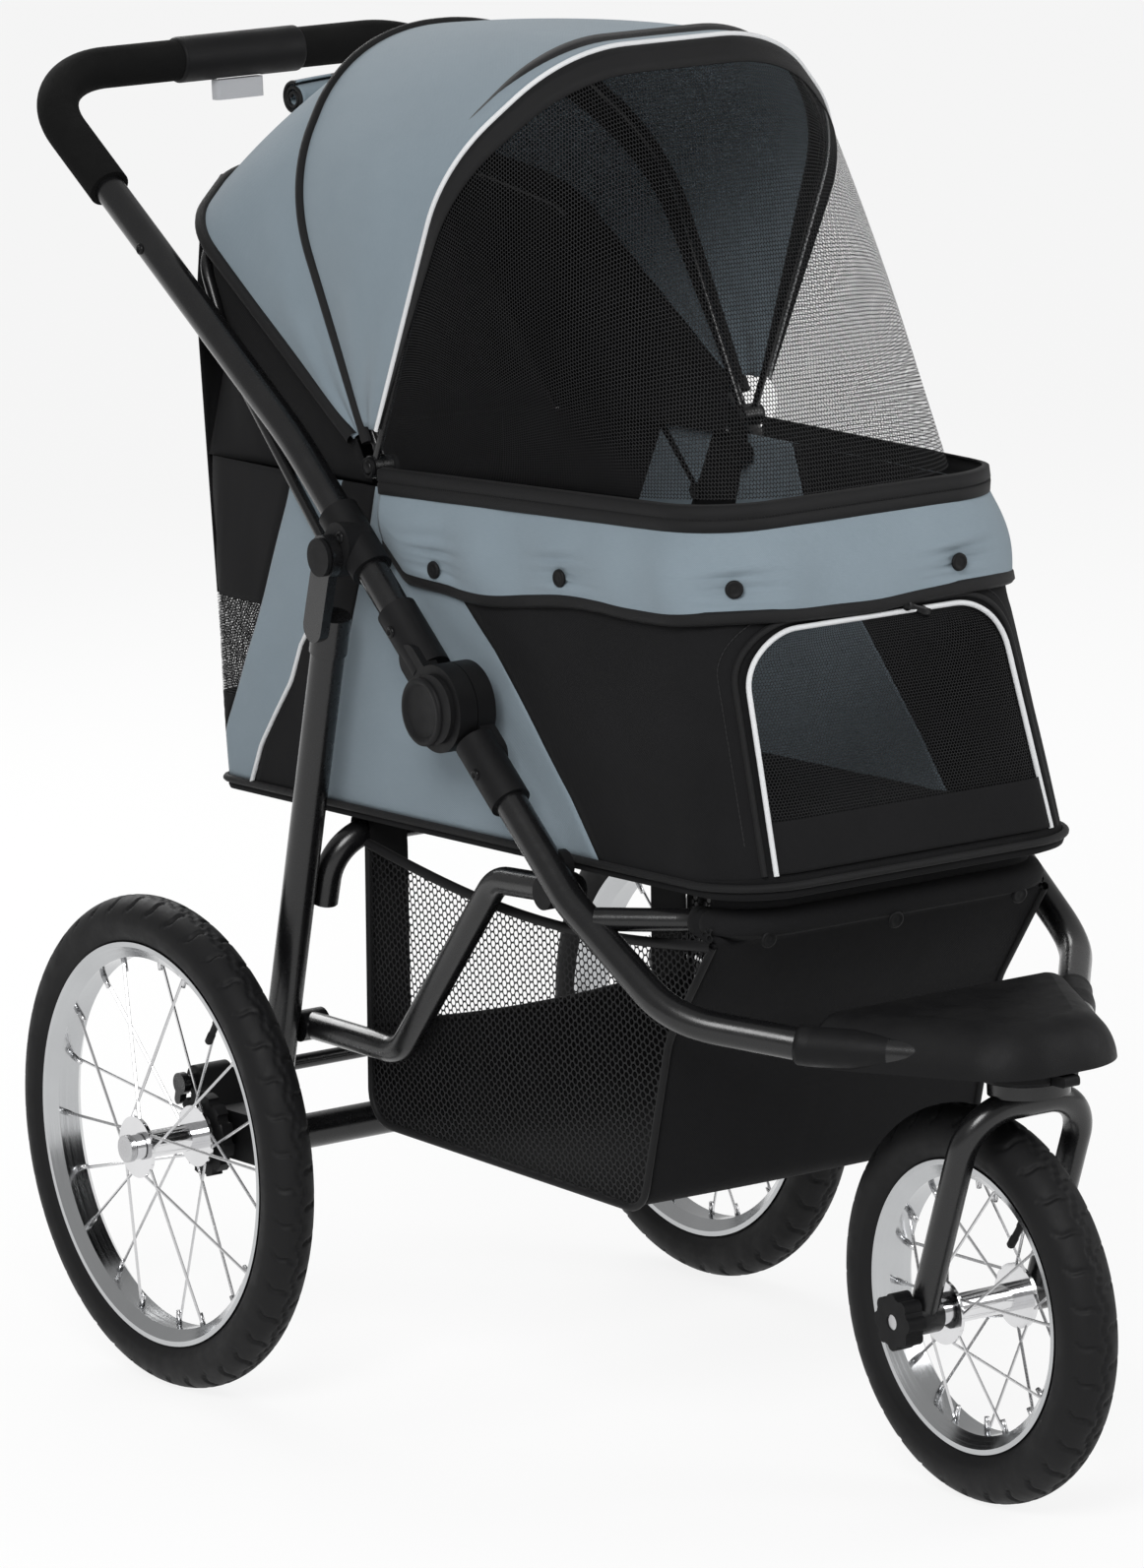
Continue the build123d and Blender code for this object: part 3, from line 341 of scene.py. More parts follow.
def tyre_surface(centre, wheel_radius, section, blocks):
    """A round tyre section carried about the axle. The tread is cut by S-shaped grooves that swing from the crown
    to each shoulder, and by a wavy groove on the crown; two fine ribs stand on each wall; the rim seat is flat."""
    bead = 0.006
    seat_angle = np.arccos((bead - section) / section)
    turn = np.linspace(0, 2 * np.pi, blocks * 24, endpoint=False)[:, None]
    lean = np.linspace(-seat_angle, seat_angle, 45)[None, :]
    reach = np.abs(lean) / 1.12
    swing = 0.62 * reach + 0.13 * np.sin(2 * np.pi * reach) + np.where(lean > 0, 0.5, 0.0)
    phase = (turn * blocks / (2 * np.pi) + swing) % 1.0
    groove = np.clip(1.6 - np.abs(phase - 0.5) / 0.055, 0, 1) * np.clip((1.0 - reach) / 0.12, 0, 1)
    groove *= np.clip((reach - 0.1) / 0.08, 0, 1)
    crown = np.clip(1.5 - np.abs(lean - 0.09 * np.sin(turn * blocks)) / 0.045, 0, 1)
    ribs = np.clip(1 - np.abs(reach - 1.32) / 0.035, 0, 1) + np.clip(1 - np.abs(reach - 1.75) / 0.04, 0, 1)
    depth = section - 0.0018 * np.maximum(groove, crown) + 0.0005 * ribs
    radius = wheel_radius - section + depth * np.cos(lean)
    x = np.broadcast_to(depth * np.sin(lean), radius.shape)
    floor_x = np.linspace(x[:, -1], x[:, 0], 6, axis=1)[:, 1:-1]
    x = np.concatenate([x, floor_x], axis=1)
    radius = np.concatenate([radius, np.repeat(radius[:, -1:], 4, axis=1)], axis=1) + 0.0002
    return xyz(centre[0] + x, centre[1] + radius * np.cos(turn), centre[2] + radius * np.sin(turn))


def revolved(profile, centre, axis, sides=32):
    """A turned solid: (radius, height) pairs carried round an axis through the centre, closed on the axis."""
    axis = unit(axis)
    first = unit(np.cross(axis, [0.3, 0.5, 0.8]))
    second = np.cross(axis, first)
    profile = np.asarray(profile, float)[:, :, None, None]
    turn = np.linspace(0, 2 * np.pi, sides, endpoint=False)[None, :, None]
    ring = np.cos(turn) * first + np.sin(turn) * second
    return np.asarray(centre) + profile[:, 1] * axis + profile[:, 0] * ring


def merged(name, grids, material, body="front_frame", wraps=None):
    """Several grids of points joined into one piece, each closed round its columns unless wraps says otherwise."""
    faces, start = [], 0
    for points, wrap in zip(grids, wraps or [(False, True)] * len(grids)):
        index = start + np.arange(points[:, :, 0].size).reshape(points.shape[:2])
        faces.append(cells(around(index, wrap)).reshape(-1, 4))
        start += index.size
    mesh = bpy.data.meshes.new(name)
    mesh.from_pydata(np.concatenate([points.reshape(-1, 3) for points in grids]), [], np.concatenate(faces))
    return finish_piece(name, mesh, material, body)


spoke_wire = spun_metal("spoke_wire", (0.72, 0.72, 0.73), 0.22, (axle_y, 0.2), 900.0)
zinc = spun_metal("zinc_plate", (0.6, 0.6, 0.61), 0.3, (axle_y, 0.2), 500.0)
dress(zinc, "stub_axles", "front_axle")
spoke_count = 20
nipple = [(0.0, -0.011), (0.0019, -0.011), (0.0022, -0.007), (0.0026, 0.0005), (0.0, 0.0005)]
stem = [
    (0.0, 0.004), (0.0036, 0.004), (0.0034, -0.012), (0.0028, -0.014), (0.0028, -0.024), (0.0033, -0.0245),
    (0.0033, -0.033), (0.0022, -0.0345), (0.0, -0.0345),
]
valve_turn = np.radians(128.0)
valve_way = np.array([0, np.cos(valve_turn), np.sin(valve_turn)])
for wheel, wheel_place, wheel_radius, section, blocks in (
    ("rear_wheel_left", (0.2635, axle_y, 0.2), 0.2, 0.021, 42),
    ("rear_wheel_right", (-0.2635, axle_y, 0.2), 0.2, 0.021, 42),
    ("front_wheel", (0.0, axle_y - 0.725, 0.152), 0.152, 0.023, 32),
):
    dress(spun_metal(wheel + "_rim_polish", (0.56, 0.57, 0.58), 0.17, wheel_place[1:], 1400.0), wheel + "_rim")
    dress(spun_metal(wheel + "_hub_plate", (0.82, 0.82, 0.83), 0.12, wheel_place[1:], 700.0), wheel + "_hub")
    dress(spoke_wire, wheel + "_spokes")
    grid_piece(
        wheel + "_treaded_tyre", tyre_surface(wheel_place, wheel_radius, section, blocks)[:, ::-1], rubber, wheel,
        wrap=(True, True), replaces=(wheel + "_tyre",),
    )
    bed = wheel_radius - 2 * section + 0.006 - 0.013
    spoke_turn = np.radians(np.arange(spoke_count) * 360.0 / spoke_count)
    outward = xyz(0.0, np.cos(spoke_turn), np.sin(spoke_turn))
    nipples = [
        revolved(nipple, np.asarray(wheel_place) + way * bed + [0.003 * (1 if i % 2 else -1), 0, 0], way, 8)
        for i, way in enumerate(outward)
    ]
    merged(wheel + "_nipples", nipples, spoke_wire, wheel)
    valve = revolved(stem, np.asarray(wheel_place) + valve_way * bed, valve_way, 20)
    merged(wheel + "_valve", [valve], rubber, wheel)

# Screws and caps: dished caps pressed into the fold hubs, domed screws in the tube sockets and leg brackets, and
# the heads of the canopy pins. All are black: moulded nylon, or steel blackened to match the frame.
screw_head = [
    (0.0, 0.0004), (0.0016, 0.0003), (0.0019, 0.0012), (0.003, 0.0017), (0.0042, 0.0012), (0.0046, 0.0),
    (0.0046, -0.003),
]
hub_cap = [
    (0.0, 0.0003), (0.0188, 0.0003), (0.0206, 0.0008), (0.0216, 0.0021), (0.0228, 0.0026), (0.0252, 0.0026),
    (0.0264, 0.0018), (0.0268, 0.0), (0.0268, -0.003),
]
pin_head = [(0.0, 0.0022), (0.0035, 0.002), (0.0055, 0.0012), (0.0062, 0.0), (0.0062, -0.002)]
handle_screw_seats = [(0.217, -0.2938, 0.6408), (0.218, -0.23, 0.708), (0.2135, 0.0512, 0.9102)]
blackened = hard_material(
    "blackened_steel", (0.005, 0.005, 0.0055), (0.05, 0.05, 0.048), 0.3, 0.06, 1500.0, 0.1, metallic=0.4
)
for cap_name, cap_profile, cap_seats, cap_stuff, cap_body in (
    ("fold_hub_caps", hub_cap, [(0.2214, -0.34, 0.585)], moulding, "handle_frame"),
    ("handle_screws", screw_head, handle_screw_seats, blackened, "handle_frame"),
    ("lower_screws", screw_head, [(0.217, -0.4024, 0.5433)], blackened, "front_frame"),
    ("canopy_pin_heads", pin_head, [(0.187, -0.225, 0.758)], blackened, "front_frame"),
):
    heads = [
        revolved(cap_profile, np.array([side * x, y + axle_y, z]), np.array([side, 0.0, 0.0]), 40)
        for side in (1, -1) for x, y, z in cap_seats
    ]
    merged(cap_name, heads, cap_stuff, cap_body)

# Cabin floor: a stiff pan covered with black cloth and piped round its edge. It lies on the front hoop and is
# screwed to the frame from below.


def even(marks, count):
    """Even steps along a broken line."""
    marks = np.asarray(marks, float)
    length = np.concatenate([[0], np.cumsum(np.linalg.norm(np.diff(marks, axis=0), axis=1))])
    steps = np.linspace(0, length[-1], count)
    return np.stack([np.interp(steps, length, column) for column in marks.T], axis=1)


def rounded_path(corners, rounds, count):
    """Even steps along straight runs whose corners are arcs of the given radii, each swung about its own centre."""
    corners = np.asarray(corners, float)
    runs = [corners[:1]]
    for before, corner, after, radius in zip(corners, corners[1:], corners[2:], rounds):
        inward, onward = unit(before - corner), unit(after - corner)
        half = np.arccos(np.clip(inward @ onward, -1, 1)) / 2
        centre = corner + unit(inward + onward) * radius / np.sin(half)
        start = corner + inward * radius / np.tan(half) - centre
        end = corner + onward * radius / np.tan(half) - centre
        sweep = np.pi - 2 * half
        share = np.linspace(0, 1, 17)[:, None]
        runs.append(centre + (np.sin((1 - share) * sweep) * start + np.sin(share * sweep) * end) / np.sin(sweep))
    return even(np.concatenate([*runs, corners[-1:]]), count)


def tube(path, radius, across, sides=12, closed=False):
    """A round section carried along a path; across is a direction that the path never points in."""
    onward = np.gradient(path, axis=0)
    if closed:
        onward = np.roll(path, -1, axis=0) - np.roll(path, 1, axis=0)
    first = unit(np.cross(unit(onward), across))
    second = np.cross(unit(onward), first)
    turn = np.linspace(0, 2 * np.pi, sides, endpoint=False)[None, :, None]
    return path[:, None, :] + radius * (np.cos(turn) * first[:, None, :] + np.sin(turn) * second[:, None, :])


weave, weave_in, weave_out = shader_group(
    "plain weave", [("Place", "Vector", (0, 0, 0)), ("Pitch", "Float", 0.001)], ["Height", "Tone", "Wrinkle"]
)
threads = node(weave, "SeparateXYZ", Vector=weave_in["Place"]).outputs
turns = sums(weave, "DIVIDE", 6.2832, weave_in["Pitch"])
warp, weft = [sums(weave, "SINE", sums(weave, "MULTIPLY", threads[axis], turns)) for axis in "XY"]
long_slubs, long_creases = [
    node(weave, "Mapping", Vector=weave_in["Place"], Scale=(1.0, stretch, 1.0)).outputs[0] for stretch in (9.0, 0.35)
]
slub = node(weave, "TexNoise", Vector=long_slubs, Scale=160.0, Detail=3.0).outputs[0]
patch = node(weave, "TexNoise", Vector=weave_in["Place"], Scale=11.0, Detail=4.0, Roughness=0.6).outputs[0]
crease = node(weave, "TexNoise", Vector=long_creases, Scale=16.0, Detail=2.0, Distortion=0.6).outputs[0]
fill(
    weave, weave_out, Height=sums(weave, "MULTIPLY_ADD", sums(weave, "MULTIPLY", warp, weft), 0.5, 0.5),
    Tone=sums(weave, "MULTIPLY_ADD", patch, 0.6, sums(weave, "MULTIPLY", slub, 0.4)), Wrinkle=crease,
)


def cloth_material(name, dark, light, pitch, roughness, sheen, shine=0.2):
    """Woven cloth on a piece's cut lengths: threads over and under as bump, slubs and soft patches as colour."""
    made, tree, shader = new_material(name)
    cut = node(tree, "TexCoord").outputs["UV"]
    woven = node(tree, "Group", {"node_tree": weave}, Place=cut, Pitch=pitch).outputs
    shade = sums(tree, "MULTIPLY_ADD", woven["Height"], 0.25, sums(tree, "MULTIPLY", woven["Tone"], 0.75))
    folds = node(tree, "Bump", Height=woven["Wrinkle"], Strength=0.35, Distance=0.004).outputs[0]
    relief = node(tree, "Bump", Height=woven["Height"], Strength=0.5, Distance=0.0003, Normal=folds).outputs[0]
    fill(
        tree, shader, Base_Color=tint(tree, shade, dark, light), Normal=relief, Sheen_Weight=sheen,
        Roughness=ramp(tree, woven["Tone"], 0.3, 0.7, roughness - 0.06, roughness + 0.06), Sheen_Roughness=0.5,
        Specular_IOR_Level=shine,
    )
    return made


grey_cloth = cloth_material("blue_grey_cloth", (0.143, 0.183, 0.212), (0.248, 0.302, 0.342), 0.0014, 0.82, 0.1)
black_cloth = cloth_material(
    "black_cloth", (0.001, 0.001, 0.0012), (0.0165, 0.0165, 0.0175), 0.0016, 0.85, 0.02, 0.1
)
binding = cloth_material("black_binding", (0.003, 0.003, 0.0035), (0.009, 0.009, 0.0095), 0.0008, 0.6, 0.03)
piping = cloth_material("pale_piping", (0.55, 0.56, 0.57), (0.75, 0.76, 0.77), 0.0009, 0.45, 0.0)

base_z, rim_z = 0.478, 0.742
wall_steps = np.linspace(1, -1, 801)


def wall_outline(rear_half, side_half, front_half, front_y):
    """The cabin's plan at one height, from the middle of the back round the front and back again."""
    behind = rounded_path([(0, 0.038), (rear_half, 0.038), (side_half, -0.1)], [0.014], 161)
    ahead = rounded_path(
        [(side_half, -0.1), (side_half, -0.235), (front_half, front_y), (0, front_y)], [0.15, 0.058], 241
    )
    half = np.concatenate([behind[:-1], ahead])
    return np.concatenate([half, half[-2::-1] * [-1, 1]])


base_line = wall_outline(0.168, 0.1682, 0.164, -0.668)
rim_line = wall_outline(0.169, 0.177, 0.136, -0.612)


def blended(first, last, share):
    """The way from first to last, by shares from 0 to 1."""
    return first * (1 - share) + last * share


def rise(z):
    """The share of the wall's height, from the floor to the rim, at which z lies."""
    return (z - base_z) / (rim_z - base_z)


def wall(t, z, out=0.0):
    """A point on the cabin wall. t runs from 1 at the middle of the back through 0 at the front to -1 at the back
    again; the wall is ruled between the floor's outline and the rim's, and out moves it along the normal."""
    t, z, out = np.broadcast_arrays(np.asarray(t, float), np.asarray(z, float), np.asarray(out, float))
    found = []
    for line in (base_line, rim_line):
        slope = unit(np.gradient(line, axis=0))
        columns = (line[:, 0], line[:, 1], -slope[:, 1], slope[:, 0])
        found.append([np.interp(t, wall_steps[::-1], column[::-1]) for column in columns])
    x, y, nx, ny = [blended(low, high, rise(z)) for low, high in zip(*found)]
    return xyz(x + out * nx, y + axle_y + out * ny, z)


def side_line(points, count=41):
    """A line drawn on the side wall as (y, z) points, given as even steps of (t, z)."""
    marks = []
    for y, z in points:
        line = blended(base_line[:401, 1], rim_line[:401, 1], rise(z))
        marks.append((np.interp(-y, -line, wall_steps[:401]), z))
    return even(marks, count)


def crumple(*pieces, height=rim_z, keep=0.08):
    """Gives each soft piece, such as the cabin cloth and the basket, a mesh of its own; the height is not used."""
    for piece in pieces:
        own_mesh(piece)


def drawn_in(ring, shares):
    """A flat ring of points drawn in to the middle of the cabin's floor by shares."""
    middle = np.array([0, axle_y - 0.315, ring[0, 2]])
    return (ring - middle) * shares + middle


pan_t = np.linspace(1, -1, 320, endpoint=False)
pan_profile = np.array([
    (-0.04, 0.4795), (-0.004, 0.4798), (0.0015, 0.478), (0.0022, 0.4745), (0.001, 0.4715), (-0.006, 0.4692),
    (-0.03, 0.4688),
])
pan_rim = wall(pan_t[None, :], base_z, pan_profile[:, :1])
pan_rim[:, :, 2] = pan_profile[:, 1:]
shrink = np.linspace(1, 0, 12)[:, None, None]
pan = grid_piece(
    "cabin_pan",
    np.concatenate([drawn_in(pan_rim[0], shrink[::-1])[:-1], pan_rim, drawn_in(pan_rim[-1], shrink)[1:]]),
    black_cloth, wrap=(False, True), replaces=("cabin_base",),
)
pan_welt = grid_piece(
    "cabin_pan_welt", tube(wall(pan_t, base_z + 0.002, 0.0035), 0.003, (0, 0, 1), closed=True), binding,
    wrap=(True, True),
)
crumple(pan, pan_welt)

# Floor mat: a thin foam cushion in a black cloth cover, loose on the pan. It swells between its edge seams.
mat_rings = []
for mat_inset, mat_z in ((0.03, 0.4812), (0.016, 0.4825), (0.012, 0.487), (0.015, 0.4915), (0.032, 0.4945)):
    ring = wall(np.linspace(1, -1, 200, endpoint=False), base_z, -mat_inset)
    ring[:, 2] = mat_z
    mat_rings.append(ring)
mat_under, mat_top = drawn_in(mat_rings[0], shrink[::-1]), drawn_in(mat_rings[-1], shrink)
mat = grid_piece(
    "floor_cushion", np.concatenate([mat_under[:-1], np.stack(mat_rings[:-1]), mat_top])[::-1], black_cloth,
    wrap=(False, True), replaces=("floor_mat",),
)


def swell(piece, voxel, pressure, cap, steps=20):
    """Blows a closed cover up like a filled cushion: an even skin, cloth under pressure for some steps, and each
    point's move held to the cap and kept from going down."""
    bpy.context.view_layer.objects.active = piece
    piece.data.remesh_voxel_size = voxel
    with bpy.context.temp_override(active_object=piece, object=piece, selected_objects=[piece]):
        bpy.ops.object.voxel_remesh()
    before = np.empty(len(piece.data.vertices) * 3)
    piece.data.vertices.foreach_get("co", before)
    cloth = piece.modifiers.new("filling", "CLOTH")
    cloth.settings.use_pressure = True
    cloth.settings.uniform_pressure_force = pressure
    cloth.settings.effector_weights.gravity = 0
    cloth.point_cache.frame_start = 1
    cloth.point_cache.frame_end = steps
    for step in range(1, steps + 1):
        bpy.context.scene.frame_set(step)
    shaped = piece.evaluated_get(bpy.context.evaluated_depsgraph_get()).data
    after = np.empty_like(before)
    shaped.vertices.foreach_get("co", after)
    piece.modifiers.remove(cloth)
    bpy.context.scene.frame_set(1)
    move = (after - before).reshape(-1, 3)
    far = np.linalg.norm(move, axis=1, keepdims=True)
    move *= np.minimum(1, cap / np.maximum(far, 1e-9))
    move[:, 2] = np.maximum(move[:, 2], 0)
    piece.data.vertices.foreach_set("co", before + move.ravel())
    smooth(piece.data)
    piece.data.update()


swell(mat, 0.006, 4.0, 0.009)
crumple(mat)

# Cabin walls: one skin of woven cloth sewn from blue-grey and black panels, held by the floor's welt below and
# the zipped rim above. Pale piping marks the rear seam of each side.
wall_foot_z = 0.48
cloth_thickness = 0.0012
rear_strip_line = [
    (-0.105, rim_z), (-0.093, 0.72), (-0.068, 0.675), (-0.029, 0.607), (0.0, 0.564), (0.023, 0.529),
    (0.036, 0.501), (0.0365, wall_foot_z),
]
piped_line = [
    (-0.175, rim_z), (-0.15, 0.695), (-0.133, 0.662), (-0.111, 0.616), (-0.081, 0.573), (-0.052, 0.542),
    (-0.028, 0.515), (-0.008, wall_foot_z),
]
leg_line = [
    (-0.222, rim_z), (-0.2, 0.68), (-0.186, 0.65), (-0.157, 0.593), (-0.12, 0.499), (-0.113, wall_foot_z)
]
front_line = [
    (-0.29, rim_z), (-0.306, 0.69), (-0.326, 0.663), (-0.364, 0.629), (-0.413, 0.574), (-0.455, 0.527),
    (-0.491, wall_foot_z),
]


def slack(t, z):
    """How far the cloth stands off its frame: a low swell between floor and rim, with shallow slanted folds."""
    arc = np.sin(np.pi * np.clip(rise(z), 0, 1))
    return arc * (0.0022 + 0.0007 * np.sin(31 * t + 9 * z) + 0.0005 * np.sin(57 * t - 23 * z))


def wall_panel(name, first, last, side, material, columns, replaces=(), gather=rim_z):
    """A panel of the wall between two lines: straight threads in t and z from one line to the other."""
    marks = blended(first[:, None, :], last[:, None, :], np.linspace(0, 1, columns)[None, :, None])
    t, z = marks[:, :, 0], marks[:, :, 1]
    points = wall(t * side, z, slack(t, z))
    if side > 0:
        points = points[:, ::-1]
    piece = grid_piece(name, points, material, replaces=replaces, thickness=cloth_thickness)
    crumple(piece, height=gather)


def cord(name, path, radius, across, material, body="front_frame", sides=12):
    """A round cord, sleeve, thread or socket along a path, as one piece."""
    return grid_piece(name, tube(path, radius, across, sides), material, body, wrap=(False, True))


def stitches(name, path, across, thread, body="front_frame", pitch=0.0042):
    """A row of stitches along a path: a fine thread that stands up at each stitch and dives into the cloth between,
    its radius following the root of a rectified sine."""
    length = np.linalg.norm(np.diff(path, axis=0), axis=1).sum()
    count = int(length / pitch) * 6
    radius = 0.00012 + 0.00042 * np.sqrt(np.abs(np.sin(np.arange(count) * np.pi / 6)))
    return cord(name, even(path, count), radius[:, None, None], across, thread, body, 5)


black_thread = cloth_material("black_thread", (0.012, 0.012, 0.0125), (0.03, 0.03, 0.031), 0.0006, 0.5, 0.0)
grey_thread = cloth_material("grey_thread", (0.1, 0.13, 0.15), (0.16, 0.2, 0.225), 0.0006, 0.5, 0.0)
for side, hand in ((1, "left"), (-1, "right")):
    lines = [side_line(points) for points in (rear_strip_line, piped_line, leg_line, front_line)]
    wall_panel(
        f"side_strip_{hand}", lines[0], lines[1], side, grey_cloth, 24,
        replaces=(f"cabin_side_{hand}",),
    )
    wall_panel(f"side_wedge_{hand}", lines[1], lines[2], side, black_cloth, 12)
    wall_panel(f"side_panel_{hand}", lines[2], lines[3], side, grey_cloth, 40)
    for row, seam_line, shift in ((1, lines[2], -0.0055), (2, lines[3], 0.0055)):
        row_t, row_z = seam_line[:, 0] + shift, seam_line[:, 1]
        row_path = wall(row_t * side, row_z, slack(row_t, row_z) + 0.0002)
        crumple(stitches(f"side_stitches_{row}_{hand}", row_path, (1, 0, 0), grey_thread))
    seam_t, seam_z = lines[1].T
    piped_z = np.linspace(0.7, 0.482, 60)
    seam = wall(np.interp(piped_z, seam_z[::-1], seam_t[::-1]) * side, piped_z, 0.0035)
    crumple(cord(f"side_piping_{hand}", seam, 0.0019, (1, 0, 0), piping))

# Front panel and door: black cloth with an arched way in. The door is fine net over a strip of black cloth, hung
# on its lower edge; a zip runs round the arch between the black frame and its pale piping.
net_weave, net_in, net_out = shader_group(
    "open net", [("Place", "Vector", (0, 0, 0)), ("Pitch", "Float", 0.002), ("Hole", "Float", 0.3)],
    ["Thread", "Round"],
)
net_place = node(net_weave, "SeparateXYZ", Vector=net_in["Place"]).outputs


def net_sum(*terms):
    """One Math node of the open net."""
    return sums(net_weave, *terms)


net_row = net_sum("DIVIDE", net_place["Y"], net_sum("MULTIPLY", net_in["Pitch"], 0.866))
net_shift = net_sum("MULTIPLY", net_sum("MODULO", net_sum("FLOOR", net_row), 2.0), 0.5)
net_column = net_sum("ADD", net_sum("DIVIDE", net_place["X"], net_in["Pitch"]), net_shift)
net_x = net_sum("SUBTRACT", net_sum("FRACT", net_column), 0.5)
net_y = net_sum("MULTIPLY", net_sum("SUBTRACT", net_sum("FRACT", net_row), 0.5), 0.866)
net_far = net_sum("SQRT", net_sum("ADD", net_sum("MULTIPLY", net_x, net_x), net_sum("MULTIPLY", net_y, net_y)))
fill(net_weave, net_out, Thread=net_sum("GREATER_THAN", net_far, net_in["Hole"]), Round=net_far)


def net_material(name, dark, light, pitch, hole, roughness):
    """Knitted net: staggered round holes cut out, the threads between them rounded by bump."""
    made, tree, shader = new_material(name)
    cut = node(tree, "TexCoord").outputs["UV"]
    knit = node(tree, "Group", {"node_tree": net_weave}, Place=cut, Pitch=pitch, Hole=hole).outputs
    cloudy = node(tree, "TexNoise", Vector=cut, Scale=30.0, Detail=3.0).outputs[0]
    relief = node(tree, "Bump", Height=knit["Round"], Strength=0.6, Distance=0.0006).outputs[0]
    fill(
        tree, shader, Base_Color=tint(tree, cloudy, dark, light), Alpha=knit["Thread"], Normal=relief,
        Roughness=roughness, Specular_IOR_Level=0.25,
    )
    return made


fine_net = net_material("fine_black_net", (0.004, 0.004, 0.0045), (0.01, 0.01, 0.011), 0.0026, 0.405, 0.7)
door_half, door_sill, door_top = 0.127, 0.488, 0.664
door_arch = rounded_path(
    [(door_half, door_sill), (0.11, door_top), (-0.121, door_top), (-door_half, door_sill)], [0.045, 0.045], 161
)


def front_t(x, z):
    """The t at which the front wall passes x at height z."""
    x, z = np.broadcast_arrays(x, z)
    found = []
    for across, share in zip(x.ravel(), rise(z).ravel()):
        half = blended(base_line[280:401, 0], rim_line[280:401, 0], share)
        t = np.interp(abs(across), half[::-1], wall_steps[280:401][::-1])
        found.append(t if across >= 0 else -t)
    return np.array(found).reshape(x.shape)


def grown_arch(wider, higher):
    """The door's arch, grown in width and in height above the sill."""
    return np.stack([door_arch[:, 0] * wider, door_sill + (door_arch[:, 1] - door_sill) * higher], axis=1)


sill = np.stack([np.linspace(door_half, 0, 21)[::-1], np.full(21, door_sill)], axis=1)
ring_xz = np.concatenate([sill[:-1], door_arch, (sill * [-1, 1])[::-1][1:-1]])
inner = np.stack([front_t(*ring_xz.T), ring_xz[:, 1]], axis=1)
edge = side_line(front_line, 55)[::-1]
low = np.stack([np.linspace(0, edge[0, 0], 21), np.full(21, wall_foot_z)], axis=1)
top = np.stack([np.linspace(edge[-1, 0], -edge[-1, 0], 53), np.full(53, rim_z)], axis=1)
outer = np.concatenate([low[:-1], edge, top[1:-1], (edge * [-1, 1])[::-1], (low * [-1, 1])[::-1][1:-1]])
share = np.linspace(0, 1, 20)[:, None]
front_at, front_z = np.moveaxis(blended(inner, outer, share[:, :, None]), 2, 0)
front_panel = grid_piece(
    "front_panel", wall(front_at, front_z, slack(front_at, front_z) * share), black_cloth, wrap=(False, True),
    replaces=("cabin_front",), thickness=cloth_thickness,
)
arch_pipe = wall(front_t(*door_arch.T), door_arch[:, 1], 0.003)
door_piping = cord("door_piping", arch_pipe, 0.0021, (0, 1, 0.2), piping)
zip_arch = grown_arch(1.06, 1.035)
door_zip = cord("door_zip", wall(front_t(*zip_arch.T), zip_arch[:, 1], 0.0022), 0.0024, (0, 1, 0.2), binding)
puller_profile = [
    (0.0, 0.0), (0.0034, 0.0005), (0.0036, 0.004), (0.0026, 0.009), (0.0036, 0.015), (0.0034, 0.022), (0.0, 0.0225)
]
slider_profile = [(0.0, 0.0042), (0.0035, 0.0036), (0.0048, 0.001), (0.0048, -0.002), (0.0, -0.002)]
puller_x, puller_z = 0.024, 0.6685
puller_top = wall(front_t(puller_x, puller_z), puller_z, 0.0046)
puller = revolved(puller_profile, puller_top, np.array([0.92, -0.05, -0.38]), 16)
puller = puller_top + (puller - puller_top) * [1, 0.5, 1]
slider = revolved(slider_profile, puller_top, np.array([0, -1.0, 0]), 20)
door_puller = merged("door_zip_puller", [puller, slider], blackened)
seam_arch = grown_arch(1.13, 1.072)[6:-6]
door_stitches = stitches(
    "door_stitches", wall(front_t(*seam_arch.T), seam_arch[:, 1], 0.0011), (0, 1, 0.2), black_thread
)
crumple(front_panel, door_piping, door_zip, door_puller, door_stitches)


def door_sheet(z_from, z_to, rows, out):
    """The door between two heights: straight across from one side of the arch to the other."""
    z = np.linspace(z_from, z_to, rows)[:, None]
    left = np.interp(z, door_arch[:70, 1], door_arch[:70, 0]) - 0.002
    right = np.interp(z, door_arch[:90:-1, 1], door_arch[:90:-1, 0]) + 0.002
    x = blended(left, right, np.linspace(0, 1, 61)[None, :])
    z = np.broadcast_to(z, x.shape)
    return wall(front_t(x, z), z, out)


door_net = grid_piece(
    "door_net", door_sheet(0.524, door_top - 0.0015, 40, 0.0012), fine_net, "door", replaces=("door_flap",)
)
door_strip = grid_piece(
    "door_strip", door_sheet(door_sill + 0.001, 0.527, 16, 0.0028), black_cloth, "door", thickness=cloth_thickness
)
crumple(door_net)
crumple(door_strip, height=0.747)

# Band and rim: a soft blue-grey band hangs from the rim, held down by snaps over a bound lower edge. The rim
# itself is a black tape with a coil zip that joins the canopy's net to the cabin.
band_top_z = 0.741
band_end = side_line([(-0.236, 0.7), (-0.2365, rim_z)], 2)[0, 0]
band_t = np.linspace(band_end, -band_end, 361)
band_marks = side_line([(-0.236, 0.7), (-0.262, 0.6765), (-0.33, 0.671), (-0.5, 0.679)], 60)[::-1]
band_low = np.interp(np.abs(band_t), [0.0, 0.16, *band_marks[:, 0]], [0.677, 0.678, *band_marks[:, 1]])
snaps = [(-0.415, 0.685), (-0.273, 0.693), (-0.113, 0.697), (0.068, 0.695), (0.273, 0.693), (0.415, 0.685)]
snap_near = np.exp(-((band_t[None, :] - np.array(snaps)[:, :1]) / 0.026) ** 2).sum(axis=0)
